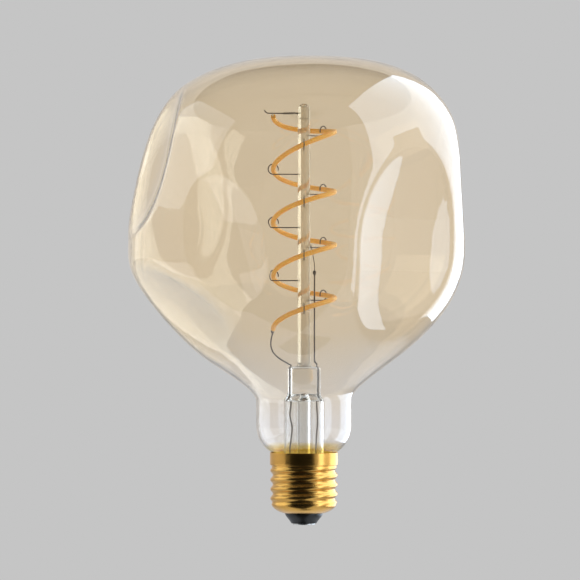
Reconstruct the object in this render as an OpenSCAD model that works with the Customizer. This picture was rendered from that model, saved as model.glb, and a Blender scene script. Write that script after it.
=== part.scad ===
// Smart filament light bulb: a large hand-dented amber globe on an E27 screw cap.
// The origin is the centre contact's outer face, on the cap's axis. +Z runs up into the glass.

/* [Glass envelope] */
// Greatest width of the blown globe
globe_w = 130.8; // [116:0.5:160]
// Height of the globe's top above the centre contact
globe_top = 181.6; // [165:0.1:220]
// Height of the widest ring of the globe
belly_z = 107; // [95:0.5:120]
// Width of the straight neck
neck_w = 37; // [32:0.1:44]
// Height at which the straight neck begins
neck_low = 39; // [36:0.5:44]
// Length of the straight neck
neck_len = 9; // [5:0.5:16]
// Wall thickness of the blown glass
glass_t = 0.8; // [0.6:0.1:1.5]
// How far the glass neck reaches down into the cap
seal_depth = 4.4; // [3:0.1:4.5]
// Sideways lean of the belly away from the cap's axis
belly_lean = 6.6; // [0:0.5:9]
// Sideways lean of the crown back over the cap's axis
crown_lean = 2.4; // [0:0.5:6]
// Share of every dent's depth that is pressed in
dent_press = 1; // [0:0.05:1.2]

/* [Screw cap] */
// Height of the brass cap's rim above the centre contact
cap_h = 28.06; // [27:0.01:30]
// How much wider the plain collar is than the thread's crests
collar_step = 0.2; // [0.1:0.05:0.8]
// Height of the plain collar
collar_h = 5; // [4:0.1:6]
// Width over the thread's crests
crest_w = 26.2; // [26.05:0.01:26.25]
// Depth of the rolled thread
thread_depth = 1; // [0.8:0.05:1.1]
// Thread pitch, seven turns to the inch
thread_pitch = 3.629; // [3.5:0.001:3.7]
// Thickness of the cap's brass sheet
sheet_t = 0.35; // [0.25:0.05:0.45]
// Height of the cap's lower edge above the centre contact
lip_z = 4.46; // [4:0.01:5]
// Width of the cap's lower edge
lip_w = 15; // [14:0.1:17]
// Width of the insulator's face around the centre contact
insulator_w = 9.9; // [9.6:0.1:11]
// Width of the centre contact
contact_w = 8.6; // [7:0.1:9.2]
// How far the centre contact stands out of the insulator
contact_t = 0.5; // [0.3:0.05:0.8]

/* [Glass stem] */
// Width of the pinched press across the leads
press_w = 13; // [12:0.1:15]
// Glass left around the rod's foot, front and back, in the pinched press
press_wall = 0.5; // [0.3:0.05:1.2]
// Height of the pinched press
press_h = 12; // [9:0.5:15]
// Height of the press's top above the top of the straight neck
press_rise = 13.6; // [10:0.1:18]
// Outside width of the flare tube under the press
flare_w = 15.5; // [14:0.1:17]
// Wall thickness of the stem's tubes
stem_t = 0.8; // [0.6:0.1:1]
// Outside width of the exhaust tube
exhaust_w = 5.4; // [4.5:0.1:5.6]
// Height of the exhaust tube's sealed tip
exhaust_tip_z = 17; // [16.5:0.1:20]
// Width of the support rod at its top
rod_top_w = 4.8; // [4:0.1:5.5]
// Width of the support rod at the press
rod_foot_w = 5.3; // [4.5:0.1:6.2]
// Clear height between the rod's top and the globe's top
rod_headroom = 18.1; // [12:0.1:25]

/* [Filament] */
// Radius of the filament's coil, at its centre line
coil_r = 11.9; // [9:0.1:16]
// Number of turns in the coil
coil_turns = 4; // [3:1:5]
// Thickness of the coated filament
strip_w = 1.9; // [1.4:0.1:2.4]
// Width of the flexible carrier inside the coating
carrier_w = 1.1; // [0.8:0.1:1.2]
// Thickness of the flexible carrier
carrier_t = 0.2; // [0.15:0.05:0.3]
// Height of the coil's lower end above the press
coil_lift = 14.3; // [10:0.1:20]
// Distance from the rod's top down to the coil's upper end
coil_drop = 5; // [3:0.1:8]
// Rise of the coil's far side above its near side, halved
coil_tilt = 0.8; // [0:0.1:2]
// Rise of the coil's front above its back, halved
coil_nod = 2; // [0:0.1:3]

/* [Hooks and leads] */
// Thickness of the support hooks' wire
hook_d = 0.44; // [0.3:0.02:0.6]
// Width of each hook's open loop
loop_w = 4.4; // [3.6:0.1:5.5]
// Depth to which each hook is sunk in the rod
hook_root = 1.6; // [1:0.1:2]
// Thickness of the two lead wires
lead_d = 0.6; // [0.4:0.05:0.7]
// Distance of the lead wires inside the press's two ends
lead_edge = 1.5; // [1:0.1:1.8]
// Gap between the rod's foot and the long lead that stands beside it
riser_gap = 1.15; // [0.6:0.05:1.5]
// Height of the long lead's weld above the press
riser_weld_rise = 36; // [25:0.5:45]
// Thickness of the riser wire
riser_d = 0.3; // [0.2:0.02:0.4]

/* [Driver] */
// Gap between the thread's valleys and the insulating cup
cup_gap = 0.35; // [0.2:0.05:0.6]
// Wall thickness of the insulating cup
cup_t = 0.5; // [0.4:0.05:0.7]
// Height of the cup's floor above the centre contact
cup_z = 8; // [7.6:0.1:8.6]
// Distance from the insulating cup's mouth up to the plain collar
cup_headroom = 2.66; // [1.6:0.01:4]
// Thickness of the round driver board
board_t = 1; // [0.8:0.1:1.2]
// Height of the board above the cup's floor
board_rise = 3.6; // [3.4:0.1:4]
// Width of the smoothing capacitor
capacitor_w = 5; // [4:0.1:5.2]
// Length of the smoothing capacitor
capacitor_h = 7; // [5:0.1:7.4]
// Width, thickness and height of the wireless module's card
module_size = [11, 0.8, 9]; // [0.5:0.1:12]

/* [Fits] */
// Gap between glass, cement and metal where they are bonded
bond_gap = 0.04; // [0.02:0.01:0.06]
// Gap around the driver cup and between the driver's parts
part_gap = 0.1; // [0.05:0.01:0.15]

/* [Hidden] */
$fn = 64;

// Envelope heights and radii
collar_w = crest_w + collar_step;
belly_r = globe_w / 2;
neck_r = neck_w / 2;
neck_top = neck_low + neck_len;
seal_z = cap_h - seal_depth;
crown_h = globe_top - belly_z;
collar_in_r = collar_w / 2 - sheet_t;
CEMENT_T = 0.6;
seal_r = collar_in_r - CEMENT_T - 2 * bond_gap;
seal_in_r = seal_r - glass_t;

// Rings and sides of the envelope's surface
SIDES = 56;
SHOULDER_STEPS = 4;
FUNNEL_STEPS = 11;
CROWN_STEPS = 21;
FUNNEL_FOOT = 10;
FUNNEL_DROP = 35;
CROWN_POWER_R = 2.6;
CROWN_POWER_Z = 3.5;

// Each dent: azimuth, height above the contact as a share of the globe's top, elevation of its
// axis, half width, half height, tilt, depth and softness of its rim
DENTS = [
    [193, 0.78, 8, 26.5, 29, 8, 10, 0.15],
    [245, 0.6, -6, 16, 26, 16, 5.5, 0.15],
    [204, 0.44, -30, 33, 23, -6, 9, 0.35],
    [314, 0.595, -2, 26, 38, -5, 9, 0.12],
    [78, 0.64, 0, 28, 42, 4, 7, 0.2],
    [136, 0.7, 0, 22, 31, -12, 6, 0.25],
    [6, 0.74, 4, 24, 26, 10, 2.2, 0.35]
];

// Stem heights and radii
FLARE_BEND = 8;
FLARE_CONE = 1.6;
ROD_SINK = 4;
EXHAUST_SINK = 1.2;
press_t = rod_foot_w + 2 * (bond_gap + press_wall);
lead_x = press_w / 2 - lead_edge;
press_top = neck_top + press_rise;
press_z = press_top - press_h;
flare_r = flare_w / 2;
flare_top = press_z - FLARE_CONE;
flare_bend_z = seal_z + FLARE_BEND;
flare_rim_r = seal_in_r * cos(180 / SIDES) - bond_gap;
exhaust_r = exhaust_w / 2;
rod_top = globe_top - rod_headroom;
rod_foot_z = press_top - ROD_SINK;
rod_top_r = rod_top_w / 2;
rod_foot_r = rod_foot_w / 2;

// Filament coil: it starts at the upper end and turns clockwise seen from above on its way down
coil_top = rod_top - coil_drop;
coil_low = press_top + coil_lift;
coil_start = 180;
coil_pitch = (coil_top - coil_low) / coil_turns;
FIRST_TURN_LIFT = 2.6;
STEPS_PER_TURN = 26;
coil_steps = coil_turns * STEPS_PER_TURN;
strip_r = strip_w / 2;
coat_gap = 0.01;

// Hooks: where they stand along a turn, as shares of the turn
hook_r = hook_d / 2;
loop_r = (loop_w - hook_d) / 2;
HOOK_SHARES = [0.36, 0.75, 1];
hook_turns = [for (turn = [0:coil_turns - 1], share = HOOK_SHARES)
    if (turn + share < coil_turns - 0.01) turn + share];
HOOK_SWEEP = 285;

// Leads
lead_r = lead_d / 2;
riser_r = riser_d / 2;
riser_x = rod_foot_r + lead_r + riser_gap;
TAB = [1.8, 0.24, 1];
arm_azimuth = coil_start + TAB.x / 2 / coil_r * 180 / PI;
tab_slope = unit(coil_point(0) - coil_point(1 / STEPS_PER_TURN)).z;
arm_z = coil_top + tab_slope * TAB.x / 2 + (TAB.z / 2 + hook_r) / sqrt(1 - tab_slope * tab_slope) + bond_gap;
arm_reach = coil_r + 2;
riser_weld_z = press_top + riser_weld_rise;
BEAD_R = 0.75;
WRAP_TURNS = 5;
WRAP_PITCH = 0.9;
wrap_r = hook_r + riser_r + bond_gap;
wrap_x = -rod_top_r - 1.2;
RISER_TURN = 39;
RISER_CLIMB = 10;
RISER_STRAIGHT = 3;
RISER_BEND = [4, 3, 0.4];
RISER_BEND_TURN = [60, 140];
riser_back_r = rod_foot_r + riser_r + 0.15;

// Cap radii and heights
lip_r = lip_w / 2;
crest_r = crest_w / 2;
collar_z = cap_h - collar_h;
cone_z = lip_z + 3.4;
insulator_r = insulator_w / 2;
insulator_top = lip_z + 2;
contact_r = contact_w / 2;
CONTACT_HOLE_R = 1.1;
CONTACT_WALL = 0.4;
CONTACT_SOLDER_H = 3;
INSULATOR_POCKET_R = 4.4;
INSULATOR_POCKET_DEPTH = 1.4;
INSULATOR_BELLY = [0.8, 1.6];
INSULATOR_NECK = [0.4, 1.4];
INSULATOR_EDGE = [1, 0.6];
WIRE_R = 0.3;
THREAD_SIDES = 40;
RINGS_PER_PITCH = 10;
THREAD_START = -50;
thread_mean_r = crest_r - thread_depth / 2;
BAND = 0.25;
BAND_EDGE = 0.2;
RUN_OUT = 1.4;
thread_len = collar_z + BAND - cone_z;
thread_rings = ceil(thread_len / thread_pitch * RINGS_PER_PITCH);

// Driver places
cup_r = crest_r - thread_depth - sheet_t - cup_gap;
cup_h = collar_z - cup_headroom - cup_z;
cup_in_r = cup_r - cup_t;
board_z = cup_z + cup_t + board_rise;
board_r = cup_in_r - part_gap;
board_top = board_z + board_t;
LIVE_WIRE_X = 0;
LIVE_WIRE_Z = 1;
WIRE_END = 0.4;
NEUTRAL_AZIMUTH = 200;
neutral_r = board_r - 1.2;
CAPACITOR_EDGE = 1;
CAPACITOR_Y = 0.8;
capacitor_x = cup_in_r - capacitor_w / 2 - CAPACITOR_EDGE;
MODULE_EDGE = 3;
module_y = MODULE_EDGE - sqrt(cup_in_r * cup_in_r - module_size.x * module_size.x / 4);
MODULE_SINK = 0.6;
RECTIFIER = [4.6, 3.8, 1.5];
CHIP = [4.9, 3.9, 1.4];
SHIELD = [7, 1.4, 5.2];
SHIELD_RISE = 0.5;
RECTIFIER_PLACE = [-5.4, 3.4];
CHIP_PLACE = [4.6, 4.4];
LEG = [0.3, 0.7, 0.2];
LEG_ROW_EDGE = 0.4;
RESISTOR_W = 2.3;
RESISTOR_LEN = 6;
RESISTOR_PLACE = [-4, -4.6];
RESISTOR_CAP = 1.4;
RESISTOR_WIRE_R = 0.22;
RESISTOR_LEG_R = 0.3;
INDUCTOR_W = 4.6;
INDUCTOR_H = 3;
INDUCTOR_PLACE = [4.2, -4.6];
CAPACITOR_GROOVE_R = 0.3;
CAPACITOR_GROOVE_Z = 1.1;
CAPACITOR_CRIMP = 0.2;

function bezier(a, b, c, d, t) =
    pow(1 - t, 3) * a + 3 * t * pow(1 - t, 2) * b + 3 * t * t * (1 - t) * c + pow(t, 3) * d;

// Rounded step: nothing below -k, a straight ramp above k
function ramp(x, k) = x <= -k ? 0 : x >= k ? x : pow(x + k, 2) / (4 * k);

function unit(v) = v / norm(v);

// Half outline of the undented glass, from the seal in the cap up to the crown
outline = concat(
    [[seal_r, seal_z], [seal_r, cap_h - 0.6]],
    [for (i = [1:SHOULDER_STEPS]) bezier([seal_r, cap_h - 0.6], [seal_r, cap_h + 0.4],
        [neck_r, cap_h + 2], [neck_r, neck_low], i / SHOULDER_STEPS)],
    [for (i = [0:FUNNEL_STEPS - 1]) bezier([neck_r, neck_top], [neck_r, neck_top + FUNNEL_FOOT],
        [belly_r, belly_z - FUNNEL_DROP], [belly_r, belly_z], i / FUNNEL_STEPS)],
    [for (i = [0:CROWN_STEPS]) let (a = 90 * i / (CROWN_STEPS + 0.35))
        [belly_r * pow(cos(a), 2 / CROWN_POWER_R), belly_z + crown_h * pow(sin(a), 2 / CROWN_POWER_Z)]]
);
radius_at = [for (p = outline) [p.y, p.x]];

// Sideways lean of the glass at a height
function lean(z) = let (t = max(0, (z - neck_top) / (globe_top - neck_top)))
    crown_lean * t * t - 2 * belly_lean * t * (1 - t);

function smooth_point(p, azimuth) = [lean(p.y) + p.x * cos(azimuth), p.x * sin(azimuth), p.y];

// Inward push of one dent on a point of the undented glass
function dent_push(dent, p) = let (
    z = dent[1] * globe_top,
    centre = smooth_point([lookup(z, radius_at), z], dent[0]),
    facing = [cos(dent[0]) * cos(dent[2]), sin(dent[0]) * cos(dent[2]), sin(dent[2])],
    across = [-sin(dent[0]), cos(dent[0]), 0],
    up = cross(facing, across),
    side = across * cos(dent[5]) + up * sin(dent[5]),
    rise = up * cos(dent[5]) - across * sin(dent[5]),
    from = p - centre,
    u = from * side / dent[3],
    v = from * rise / dent[4])
    from * facing < -belly_r / 2 ? [0, 0, 0]
        : -facing * dent[6] * dent_press * ramp(1 - u * u - v * v, dent[7]);

function total(v, i = 0) = i == len(v) - 1 ? v[i] : v[i] + total(v, i + 1);

function glass_point(p, azimuth) = let (q = smooth_point(p, azimuth))
    q + total([for (dent = DENTS) dent_push(dent, q)]);

glass_out = [for (p = outline) [for (j = [0:SIDES - 1]) glass_point(p, j * 360 / SIDES)]];

// Outward direction at a point of the glass grid, from its four neighbours
function glass_normal(i, j) = let (
    last = len(glass_out) - 1,
    along = glass_out[min(i + 1, last)][j] - glass_out[max(i - 1, 0)][j],
    around = glass_out[i][(j + 1) % SIDES] - glass_out[i][(j + SIDES - 1) % SIDES])
    unit(cross(around, along));

glass_in = [for (i = [0:len(glass_out) - 1]) [for (j = [0:SIDES - 1])
    glass_out[i][j] - glass_normal(i, j) * glass_t]];

function flat(rows) = [for (row = rows) for (p = row) p];

// Faces of a grid of rings, each point joined to the next ring and the next side
function grid_faces(rings, sides, start, flip) = [for (i = [0:rings - 2], j = [0:sides - 1]) let (
    a = start + i * sides + j,
    b = start + i * sides + (j + 1) % sides,
    c = b + sides,
    d = a + sides) each flip ? [[a, b, c], [a, c, d]] : [[a, c, b], [a, d, c]]];

// A closed tube through rings of points, with a flat face at each end
module loft(rings) {
    sides = len(rings[0]);
    count = len(rings);
    polyhedron(
        points = flat(rings),
        faces = concat(
            grid_faces(count, sides, 0, false),
            [[for (j = [0:sides - 1]) j]],
            [[for (j = [sides - 1:-1:0]) (count - 1) * sides + j]]),
        convexity = 8);
}

// A thin wall between two grids of rings with the same sides, open along its middle
module sleeve(outer, inner) {
    sides = len(outer[0]);
    count = len(outer);
    inside = count * sides;
    last = (count - 1) * sides;
    polyhedron(
        points = concat(flat(outer), flat(inner)),
        faces = concat(
            grid_faces(count, sides, 0, false),
            grid_faces(count, sides, inside, true),
            [for (j = [0:sides - 1]) let (k = (j + 1) % sides) each [
                [j, k, inside + k],
                [j, inside + k, inside + j],
                [last + j, inside + last + k, last + k],
                [last + j, inside + last + j, inside + last + k]]]),
        convexity = 10);
}

// Rings of an outline carried along a path: x of the outline points sideways, y up
function carried(path, outline, up) = [for (i = [0:len(path) - 1]) let (
    before = path[max(i - 1, 0)],
    after = path[min(i + 1, len(path) - 1)],
    forward = unit(after - before),
    side = unit(cross(forward, up)),
    rise = cross(side, forward))
    [for (q = outline) path[i] + side * q.x + rise * q.y]];

function round_outline(r, sides) = [for (j = [0:sides - 1]) let (a = j * 360 / sides)
    [r * cos(a), r * sin(a)]];

// Centre line of the filament coil after a number of turns
function coil_point(turn) = let (
    azimuth = coil_start - 360 * turn,
    first = turn < 1 ? FIRST_TURN_LIFT * pow(sin(180 * turn), 2) : 0)
    [coil_r * cos(azimuth), coil_r * sin(azimuth),
        coil_top - coil_pitch * turn + coil_tilt * (cos(azimuth) + 1) - coil_nod * sin(azimuth) + first];

coil_path = [for (i = [0:coil_steps]) coil_point(i / STEPS_PER_TURN)];

// Rings of an outline along the coil: x of the outline points away from the axis, y up
function coil_rings(outline) = [for (i = [0:coil_steps]) let (
    p = coil_path[i],
    forward = unit(coil_path[min(i + 1, coil_steps)] - coil_path[max(i - 1, 0)]),
    out = unit([p.x, p.y, 0]),
    rise = unit(cross(out, forward)),
    away = cross(forward, rise))
    [for (q = outline) p + away * q.x + rise * q.y]];

// Half of the coating's round outline, notched around the carrier
function coat_outline(side) = let (
    half = carrier_t / 2 + coat_gap,
    edge = carrier_w / 2 + coat_gap,
    face = coat_gap * side,
    arc = [for (a = [-90:30:90]) [face + strip_r * cos(a) * side, strip_r * sin(a)]],
    notch = [[face, edge], [face + half * side, edge], [face + half * side, -edge], [face, -edge]],
    whole = concat(arc, notch))
    side > 0 ? whole : [for (i = [len(whole) - 1:-1:0]) whole[i]];

// Place of a hook: its turn along the coil, its azimuth and the filament point it carries
function hook_azimuth(turn) = coil_start - 360 * turn;
function hook_z(turn) = coil_point(turn).z - loop_r;

module bead(p, r) {
    translate(p) sphere(r = r);
}

module glass_envelope() {
    rings = len(glass_out);
    points_each = rings * SIDES;
    crown = (rings - 1) * SIDES;
    top_out = total(glass_out[rings - 1]) / SIDES + [0, 0, 0.05];
    color([0.85, 0.66, 0.36, 0.4])
    polyhedron(
        points = concat(flat(glass_out), flat(glass_in), [top_out, top_out - [0, 0, glass_t]]),
        faces = concat(
            grid_faces(rings, SIDES, 0, false),
            grid_faces(rings, SIDES, points_each, true),
            [for (j = [0:SIDES - 1]) let (k = (j + 1) % SIDES) each [
                [crown + j, 2 * points_each, crown + k],
                [points_each + crown + j, points_each + crown + k, 2 * points_each + 1],
                [j, k, points_each + k],
                [j, points_each + k, points_each + j]]]),
        convexity = 10);
}

// Flared tube that closes the neck's lower end around the stem
module stem_flare_tube() {
    color([0.86, 0.88, 0.86, 0.5])
    rotate_extrude() polygon(concat(
        [[flare_r, flare_top]],
        [for (i = [0:8]) flare_bend(i / 8, 0)],
        [for (i = [8:-1:0]) flare_bend(i / 8, stem_t)],
        [[flare_r - stem_t, flare_top]]));
}

// Point on the flare's outward bend, at a distance inside its outer face
function flare_bend(t, depth) = let (z = seal_z + stem_t - depth)
    bezier([flare_r - depth, flare_bend_z], [flare_r - depth, flare_bend_z - 5],
        [flare_rim_r - 2, z], [flare_rim_r, z], t);

// Pinched glass foot that holds the leads, the rod and the exhaust tube
module stem_press() {
    color([0.88, 0.9, 0.88, 0.6])
    difference() {
        union() {
            translate([0, 0, press_z]) linear_extrude(press_h) {
                square([press_w - press_t, press_t], center = true);
                for (side = [-1, 1]) translate([side * (press_w - press_t) / 2, 0]) circle(d = press_t);
            }
            translate([0, 0, flare_top + bond_gap]) cylinder(r1 = flare_r, r2 = press_w / 2,
                h = press_z - flare_top - bond_gap + 0.4);
        }
        translate([0, 0, rod_foot_z - bond_gap]) cylinder(r = rod_foot_r + bond_gap, h = press_h);
        translate([0, 0, flare_top]) cylinder(r = exhaust_r + bond_gap, h = EXHAUST_SINK);
        translate([0, 0, flare_top]) cylinder(r = exhaust_r - stem_t, h = press_z - flare_top);
        translate([0, 0, press_z]) sphere(r = exhaust_r - stem_t);
        for (side = [-1, 1]) translate([side * lead_x, 0, flare_top - 1])
            cylinder(r = lead_r + bond_gap, h = press_h + 6);
    }
}

module exhaust_tube() {
    tip_r = exhaust_r - stem_t;
    color([0.88, 0.9, 0.88, 0.6])
    rotate_extrude() difference() {
        union() {
            translate([0, exhaust_tip_z + exhaust_r])
                square([exhaust_r, flare_top + EXHAUST_SINK - bond_gap - exhaust_tip_z - exhaust_r]);
            intersection() {
                translate([0, exhaust_tip_z + exhaust_r]) circle(r = exhaust_r);
                translate([0, exhaust_tip_z]) square([exhaust_r, exhaust_r]);
            }
        }
        translate([0, exhaust_tip_z + exhaust_r]) square([tip_r, flare_top]);
        translate([0, exhaust_tip_z + exhaust_r]) intersection() {
            circle(r = tip_r);
            translate([0, -tip_r]) square([tip_r, tip_r]);
        }
    }
}

// Glass rod up the middle, drilled where the hooks and the top arm are sunk in it
module support_rod() {
    color([0.92, 0.93, 0.9, 0.6])
    difference() {
        union() {
            translate([0, 0, rod_foot_z]) cylinder(r1 = rod_foot_r, r2 = rod_top_r,
                h = rod_top - rod_top_r - rod_foot_z);
            translate([0, 0, rod_top - rod_top_r]) sphere(r = rod_top_r);
        }
        for (turn = hook_turns) hook_root_hole(hook_azimuth(turn), hook_z(turn));
        hook_root_hole(arm_azimuth, arm_z);
    }
}

// Radius of the rod at a height
function rod_r(z) = let (share = (z - rod_foot_z) / (rod_top - rod_top_r - rod_foot_z))
    rod_foot_r + (rod_top_r - rod_foot_r) * share;

module hook_root_hole(azimuth, z) {
    rotate([0, 0, azimuth]) translate([rod_r(z) - hook_root, 0, z]) rotate([0, 90, 0])
        cylinder(r = hook_r + bond_gap, h = hook_root + 1);
}

// A straight wire out of the rod that curls upwards at its end. The straight is a shade thinner than
// the curl and runs a short way into it.
module curled_wire(azimuth, z, reach, curl_r, sweep) {
    root = rod_r(z) - hook_root + bond_gap;
    rotate([0, 0, azimuth]) {
        translate([root, 0, z]) rotate([0, 90, 0]) cylinder(r = hook_r * 0.96, h = reach - root + 0.1);
        translate([reach, 0, z + curl_r]) rotate([90, 0, 0]) rotate_extrude(angle = sweep, start = -90)
            translate([curl_r, 0]) circle(r = hook_r);
    }
}

module support_hooks() {
    color("dimgray") for (turn = hook_turns)
        curled_wire(hook_azimuth(turn), hook_z(turn), coil_r, loop_r, HOOK_SWEEP);
}

// Wire arm at the rod's top that the filament's upper end hangs from, its tip curled up
module top_arm() {
    color("dimgray") curled_wire(arm_azimuth, arm_z, arm_reach, 1.4, 80);
}

module filament_carrier() {
    x = carrier_t / 2;
    y = carrier_w / 2;
    color("goldenrod") loft(coil_rings([[x, -y], [x, y], [-x, y], [-x, -y]]));
}

module filament_outer_coat() {
    color("orange") loft(coil_rings(coat_outline(1)));
}

module filament_inner_coat() {
    color("darkorange") loft(coil_rings(coat_outline(-1)));
}

// Flat metal tab past each end of the filament
module filament_end_tabs() {
    ends = [[coil_path[0], coil_path[0] - coil_path[1]],
        [coil_path[coil_steps], coil_path[coil_steps] - coil_path[coil_steps - 1]]];
    color("silver") for (end = ends) {
        forward = unit(end[1]);
        translate(end[0] + forward * bond_gap)
            rotate([0, -asin(forward.z), atan2(forward.y, forward.x)])
                translate([0, -TAB.y / 2, -TAB.z / 2]) cube(TAB);
    }
}

coil_end = coil_path[coil_steps];
coil_end_forward = unit(coil_end - coil_path[coil_steps - 1]);
short_weld = coil_end + coil_end_forward * (TAB.x + BEAD_R + 2 * bond_gap);
long_weld = [riser_x, 0, riser_weld_z];

// Points along the short lead: from its bead round and down to the press, then through the flare
short_lead_path = concat(
    [for (i = [0:10]) bezier(short_weld - [0, 0, BEAD_R + bond_gap], short_weld - [2.6, 0, 9],
        [-lead_x - 4.4, 0, press_top + 3.2], [-lead_x, 0, press_top + 0.4], i / 10)],
    [[-lead_x, 0, press_top - 1], [-lead_x, 0, flare_top - 1]],
    [for (i = [1:6]) [-lead_x - 0.5 * sin(i * 120), 0, flare_top - 1 - i * (flare_top - board_top - 6) / 6]],
    [[-lead_x, 0, board_top + 2.5], [-lead_x, 0, board_top + bond_gap]]
);

// Points along the long lead: from its bead beside the rod down through the press
long_lead_path = [
    long_weld - [0, 0, BEAD_R + bond_gap], [riser_x, 0, press_top + 3], [riser_x + 0.2, 0, press_top + 2],
    [lead_x, 0, press_top + 0.6], [lead_x, 0, press_top - 1], [lead_x, 0, flare_top - 1],
    [lead_x + 0.3, 0, flare_top - 8], [lead_x - 0.2, 0, flare_top - 15], [lead_x - 0.6, -0.6, board_top + 10],
    [lead_x - 1.2, -2, board_top + 7], [lead_x - 1.4, -3, board_top + 4],
    [lead_x - 1.4, -3, board_top + bond_gap]
];

module short_lead() {
    color("darkgray") loft(carried(short_lead_path, round_outline(lead_r, 8), [0, 1, 0]));
}

module long_lead() {
    color("darkgray") loft(carried(long_lead_path, round_outline(lead_r, 8), [0, 1, 0]));
}

// Points along the riser: partly round the rod, up close to it, then round behind and onto the arm
riser_path = concat(
    [[riser_x, 0, riser_weld_z + BEAD_R + bond_gap], [riser_x, 0, riser_weld_z + RISER_STRAIGHT]],
    [for (share = [0.2:0.2:1.01])
        riser_point(riser_x + (riser_back_r - riser_x) * share, RISER_TURN * share,
            riser_weld_z + RISER_STRAIGHT + RISER_CLIMB * share)],
    [riser_point(riser_back_r, RISER_TURN, arm_z - RISER_BEND[0])],
    [for (share = [0:0.25:1]) riser_point(riser_back_r,
        RISER_BEND_TURN[0] + (RISER_BEND_TURN[1] - RISER_BEND_TURN[0]) * share,
        arm_z - RISER_BEND[1] + (RISER_BEND[1] - RISER_BEND[2]) * share)],
    [for (i = [0:WRAP_TURNS * 10]) turned(arm_azimuth - 180,
        [wrap_x - WRAP_PITCH * i / 10, wrap_r * cos(i * 36), arm_z + wrap_r * sin(i * 36)])]
);

function riser_point(r, azimuth, z) = [r * cos(azimuth), r * sin(azimuth), z];

function turned(angle, p) = [p.x * cos(angle) - p.y * sin(angle), p.x * sin(angle) + p.y * cos(angle), p.z];

module riser_wire() {
    color("silver") loft(carried(riser_path, round_outline(riser_r, 6), [0.3, 0.2, 1]));
}

module weld_beads() {
    color("gray") {
        bead(short_weld, BEAD_R);
        bead(long_weld, BEAD_R);
    }
}

// Brass cap: the lower cone and the collar are turned about the axis, and each has a flat band in
// which the rolled thread's thin wall ends
module cap_shell() {
    outer = thread_mean_r + BAND_EDGE;
    inner = thread_mean_r - sheet_t - BAND_EDGE;
    color([0.78, 0.58, 0.22]) {
        rotate_extrude() {
            polygon([[lip_r, lip_z], [outer - 1.2, cone_z - 0.9], [outer, cone_z - BAND],
                [outer, cone_z + BAND], [inner, cone_z + BAND], [inner, cone_z - BAND],
                [inner - 0.8, cone_z - 0.7], [lip_r, lip_z + sheet_t]]);
            polygon([[inner, collar_z], [collar_w / 2, collar_z], [collar_w / 2, cap_h],
                [collar_in_r, cap_h], [collar_in_r, collar_z + 2 * BAND], [inner, collar_z + 2 * BAND]]);
        }
        sleeve(thread_wall(0), thread_wall(sheet_t));
    }
}

// Outer radius of the right-handed rolled thread at an azimuth and a height. It runs out at both ends.
function thread_r(azimuth, z) = let (
    from_end = min(z - cone_z, cone_z + thread_len - z),
    depth = thread_depth * min(1, from_end / RUN_OUT))
    thread_mean_r + depth / 2 * cos(azimuth - THREAD_START - 360 * (z - cone_z) / thread_pitch);

// Rings of the threaded wall, at a distance inside its outer face
function thread_wall(depth) = [for (i = [0:thread_rings]) let (z = cone_z + thread_len * i / thread_rings)
    [for (j = [0:THREAD_SIDES - 1]) let (a = j * 360 / THREAD_SIDES, r = thread_r(a, z) - depth)
        [r * cos(a), r * sin(a), z]]];

// Black glass cone between the brass cap and the centre contact
module cap_insulator() {
    color([0.05, 0.05, 0.06])
    rotate_extrude() difference() {
        polygon(concat(
            [[0, contact_t], [insulator_r, contact_t]],
            [for (i = [1:6]) bezier([insulator_r, contact_t], [insulator_r, contact_t] + INSULATOR_BELLY,
                [lip_r - bond_gap, lip_z] - INSULATOR_NECK, [lip_r - bond_gap, lip_z], i / 6)],
            [[lip_r - bond_gap, insulator_top - INSULATOR_EDGE.y], [lip_r - INSULATOR_EDGE.x, insulator_top],
                [0, insulator_top]]));
        square([CONTACT_HOLE_R + bond_gap, lip_z * 2]);
        translate([0, insulator_top - INSULATOR_POCKET_DEPTH])
            square([INSULATOR_POCKET_R, INSULATOR_POCKET_DEPTH + 1]);
    }
}

module centre_contact() {
    color("silver")
    rotate_extrude() {
        translate([CONTACT_HOLE_R - CONTACT_WALL, 0])
            square([contact_r - CONTACT_HOLE_R + CONTACT_WALL, contact_t - bond_gap]);
        translate([CONTACT_HOLE_R - CONTACT_WALL, 0])
            square([CONTACT_WALL, insulator_top - INSULATOR_POCKET_DEPTH]);
    }
}

module contact_solder() {
    hole_r = CONTACT_HOLE_R - CONTACT_WALL - bond_gap;
    color("lightgray") difference() {
        cylinder(r = hole_r, h = CONTACT_SOLDER_H);
        translate([LIVE_WIRE_X, 0, LIVE_WIRE_Z]) cylinder(r = WIRE_R + bond_gap, h = CONTACT_SOLDER_H);
    }
}

module capping_cement() {
    color("ivory")
    translate([0, 0, seal_z]) difference() {
        cylinder(r = collar_in_r - bond_gap, h = seal_depth - 1);
        translate([0, 0, -1]) cylinder(r = seal_r + bond_gap, h = seal_depth + 2);
    }
}

// Insulating cup that keeps the driver off the brass, with openings for the two supply wires
module driver_cup() {
    color("whitesmoke")
    translate([0, 0, cup_z]) difference() {
        cylinder(r = cup_r, h = cup_h);
        translate([0, 0, cup_t]) cylinder(r = cup_in_r, h = cup_h);
        translate([LIVE_WIRE_X, 0, -1]) cylinder(r = WIRE_R + 0.5, h = 3);
    }
}

module driver_board() {
    color("darkgreen")
    difference() {
        translate([0, 0, board_z]) cylinder(r = board_r, h = board_t);
        translate([LIVE_WIRE_X, 0, board_z - 1]) cylinder(r = WIRE_R + bond_gap, h = 3);
        rotate([0, 0, NEUTRAL_AZIMUTH]) translate([neutral_r, 0, board_z - 1])
            cylinder(r = WIRE_R + bond_gap, h = 3);
        translate([0, module_y, board_top - MODULE_SINK]) translate([0, 0, 1])
            cube([module_size.x + 2 * bond_gap, module_size.y + 2 * bond_gap, 2], center = true);
    }
}

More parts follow.
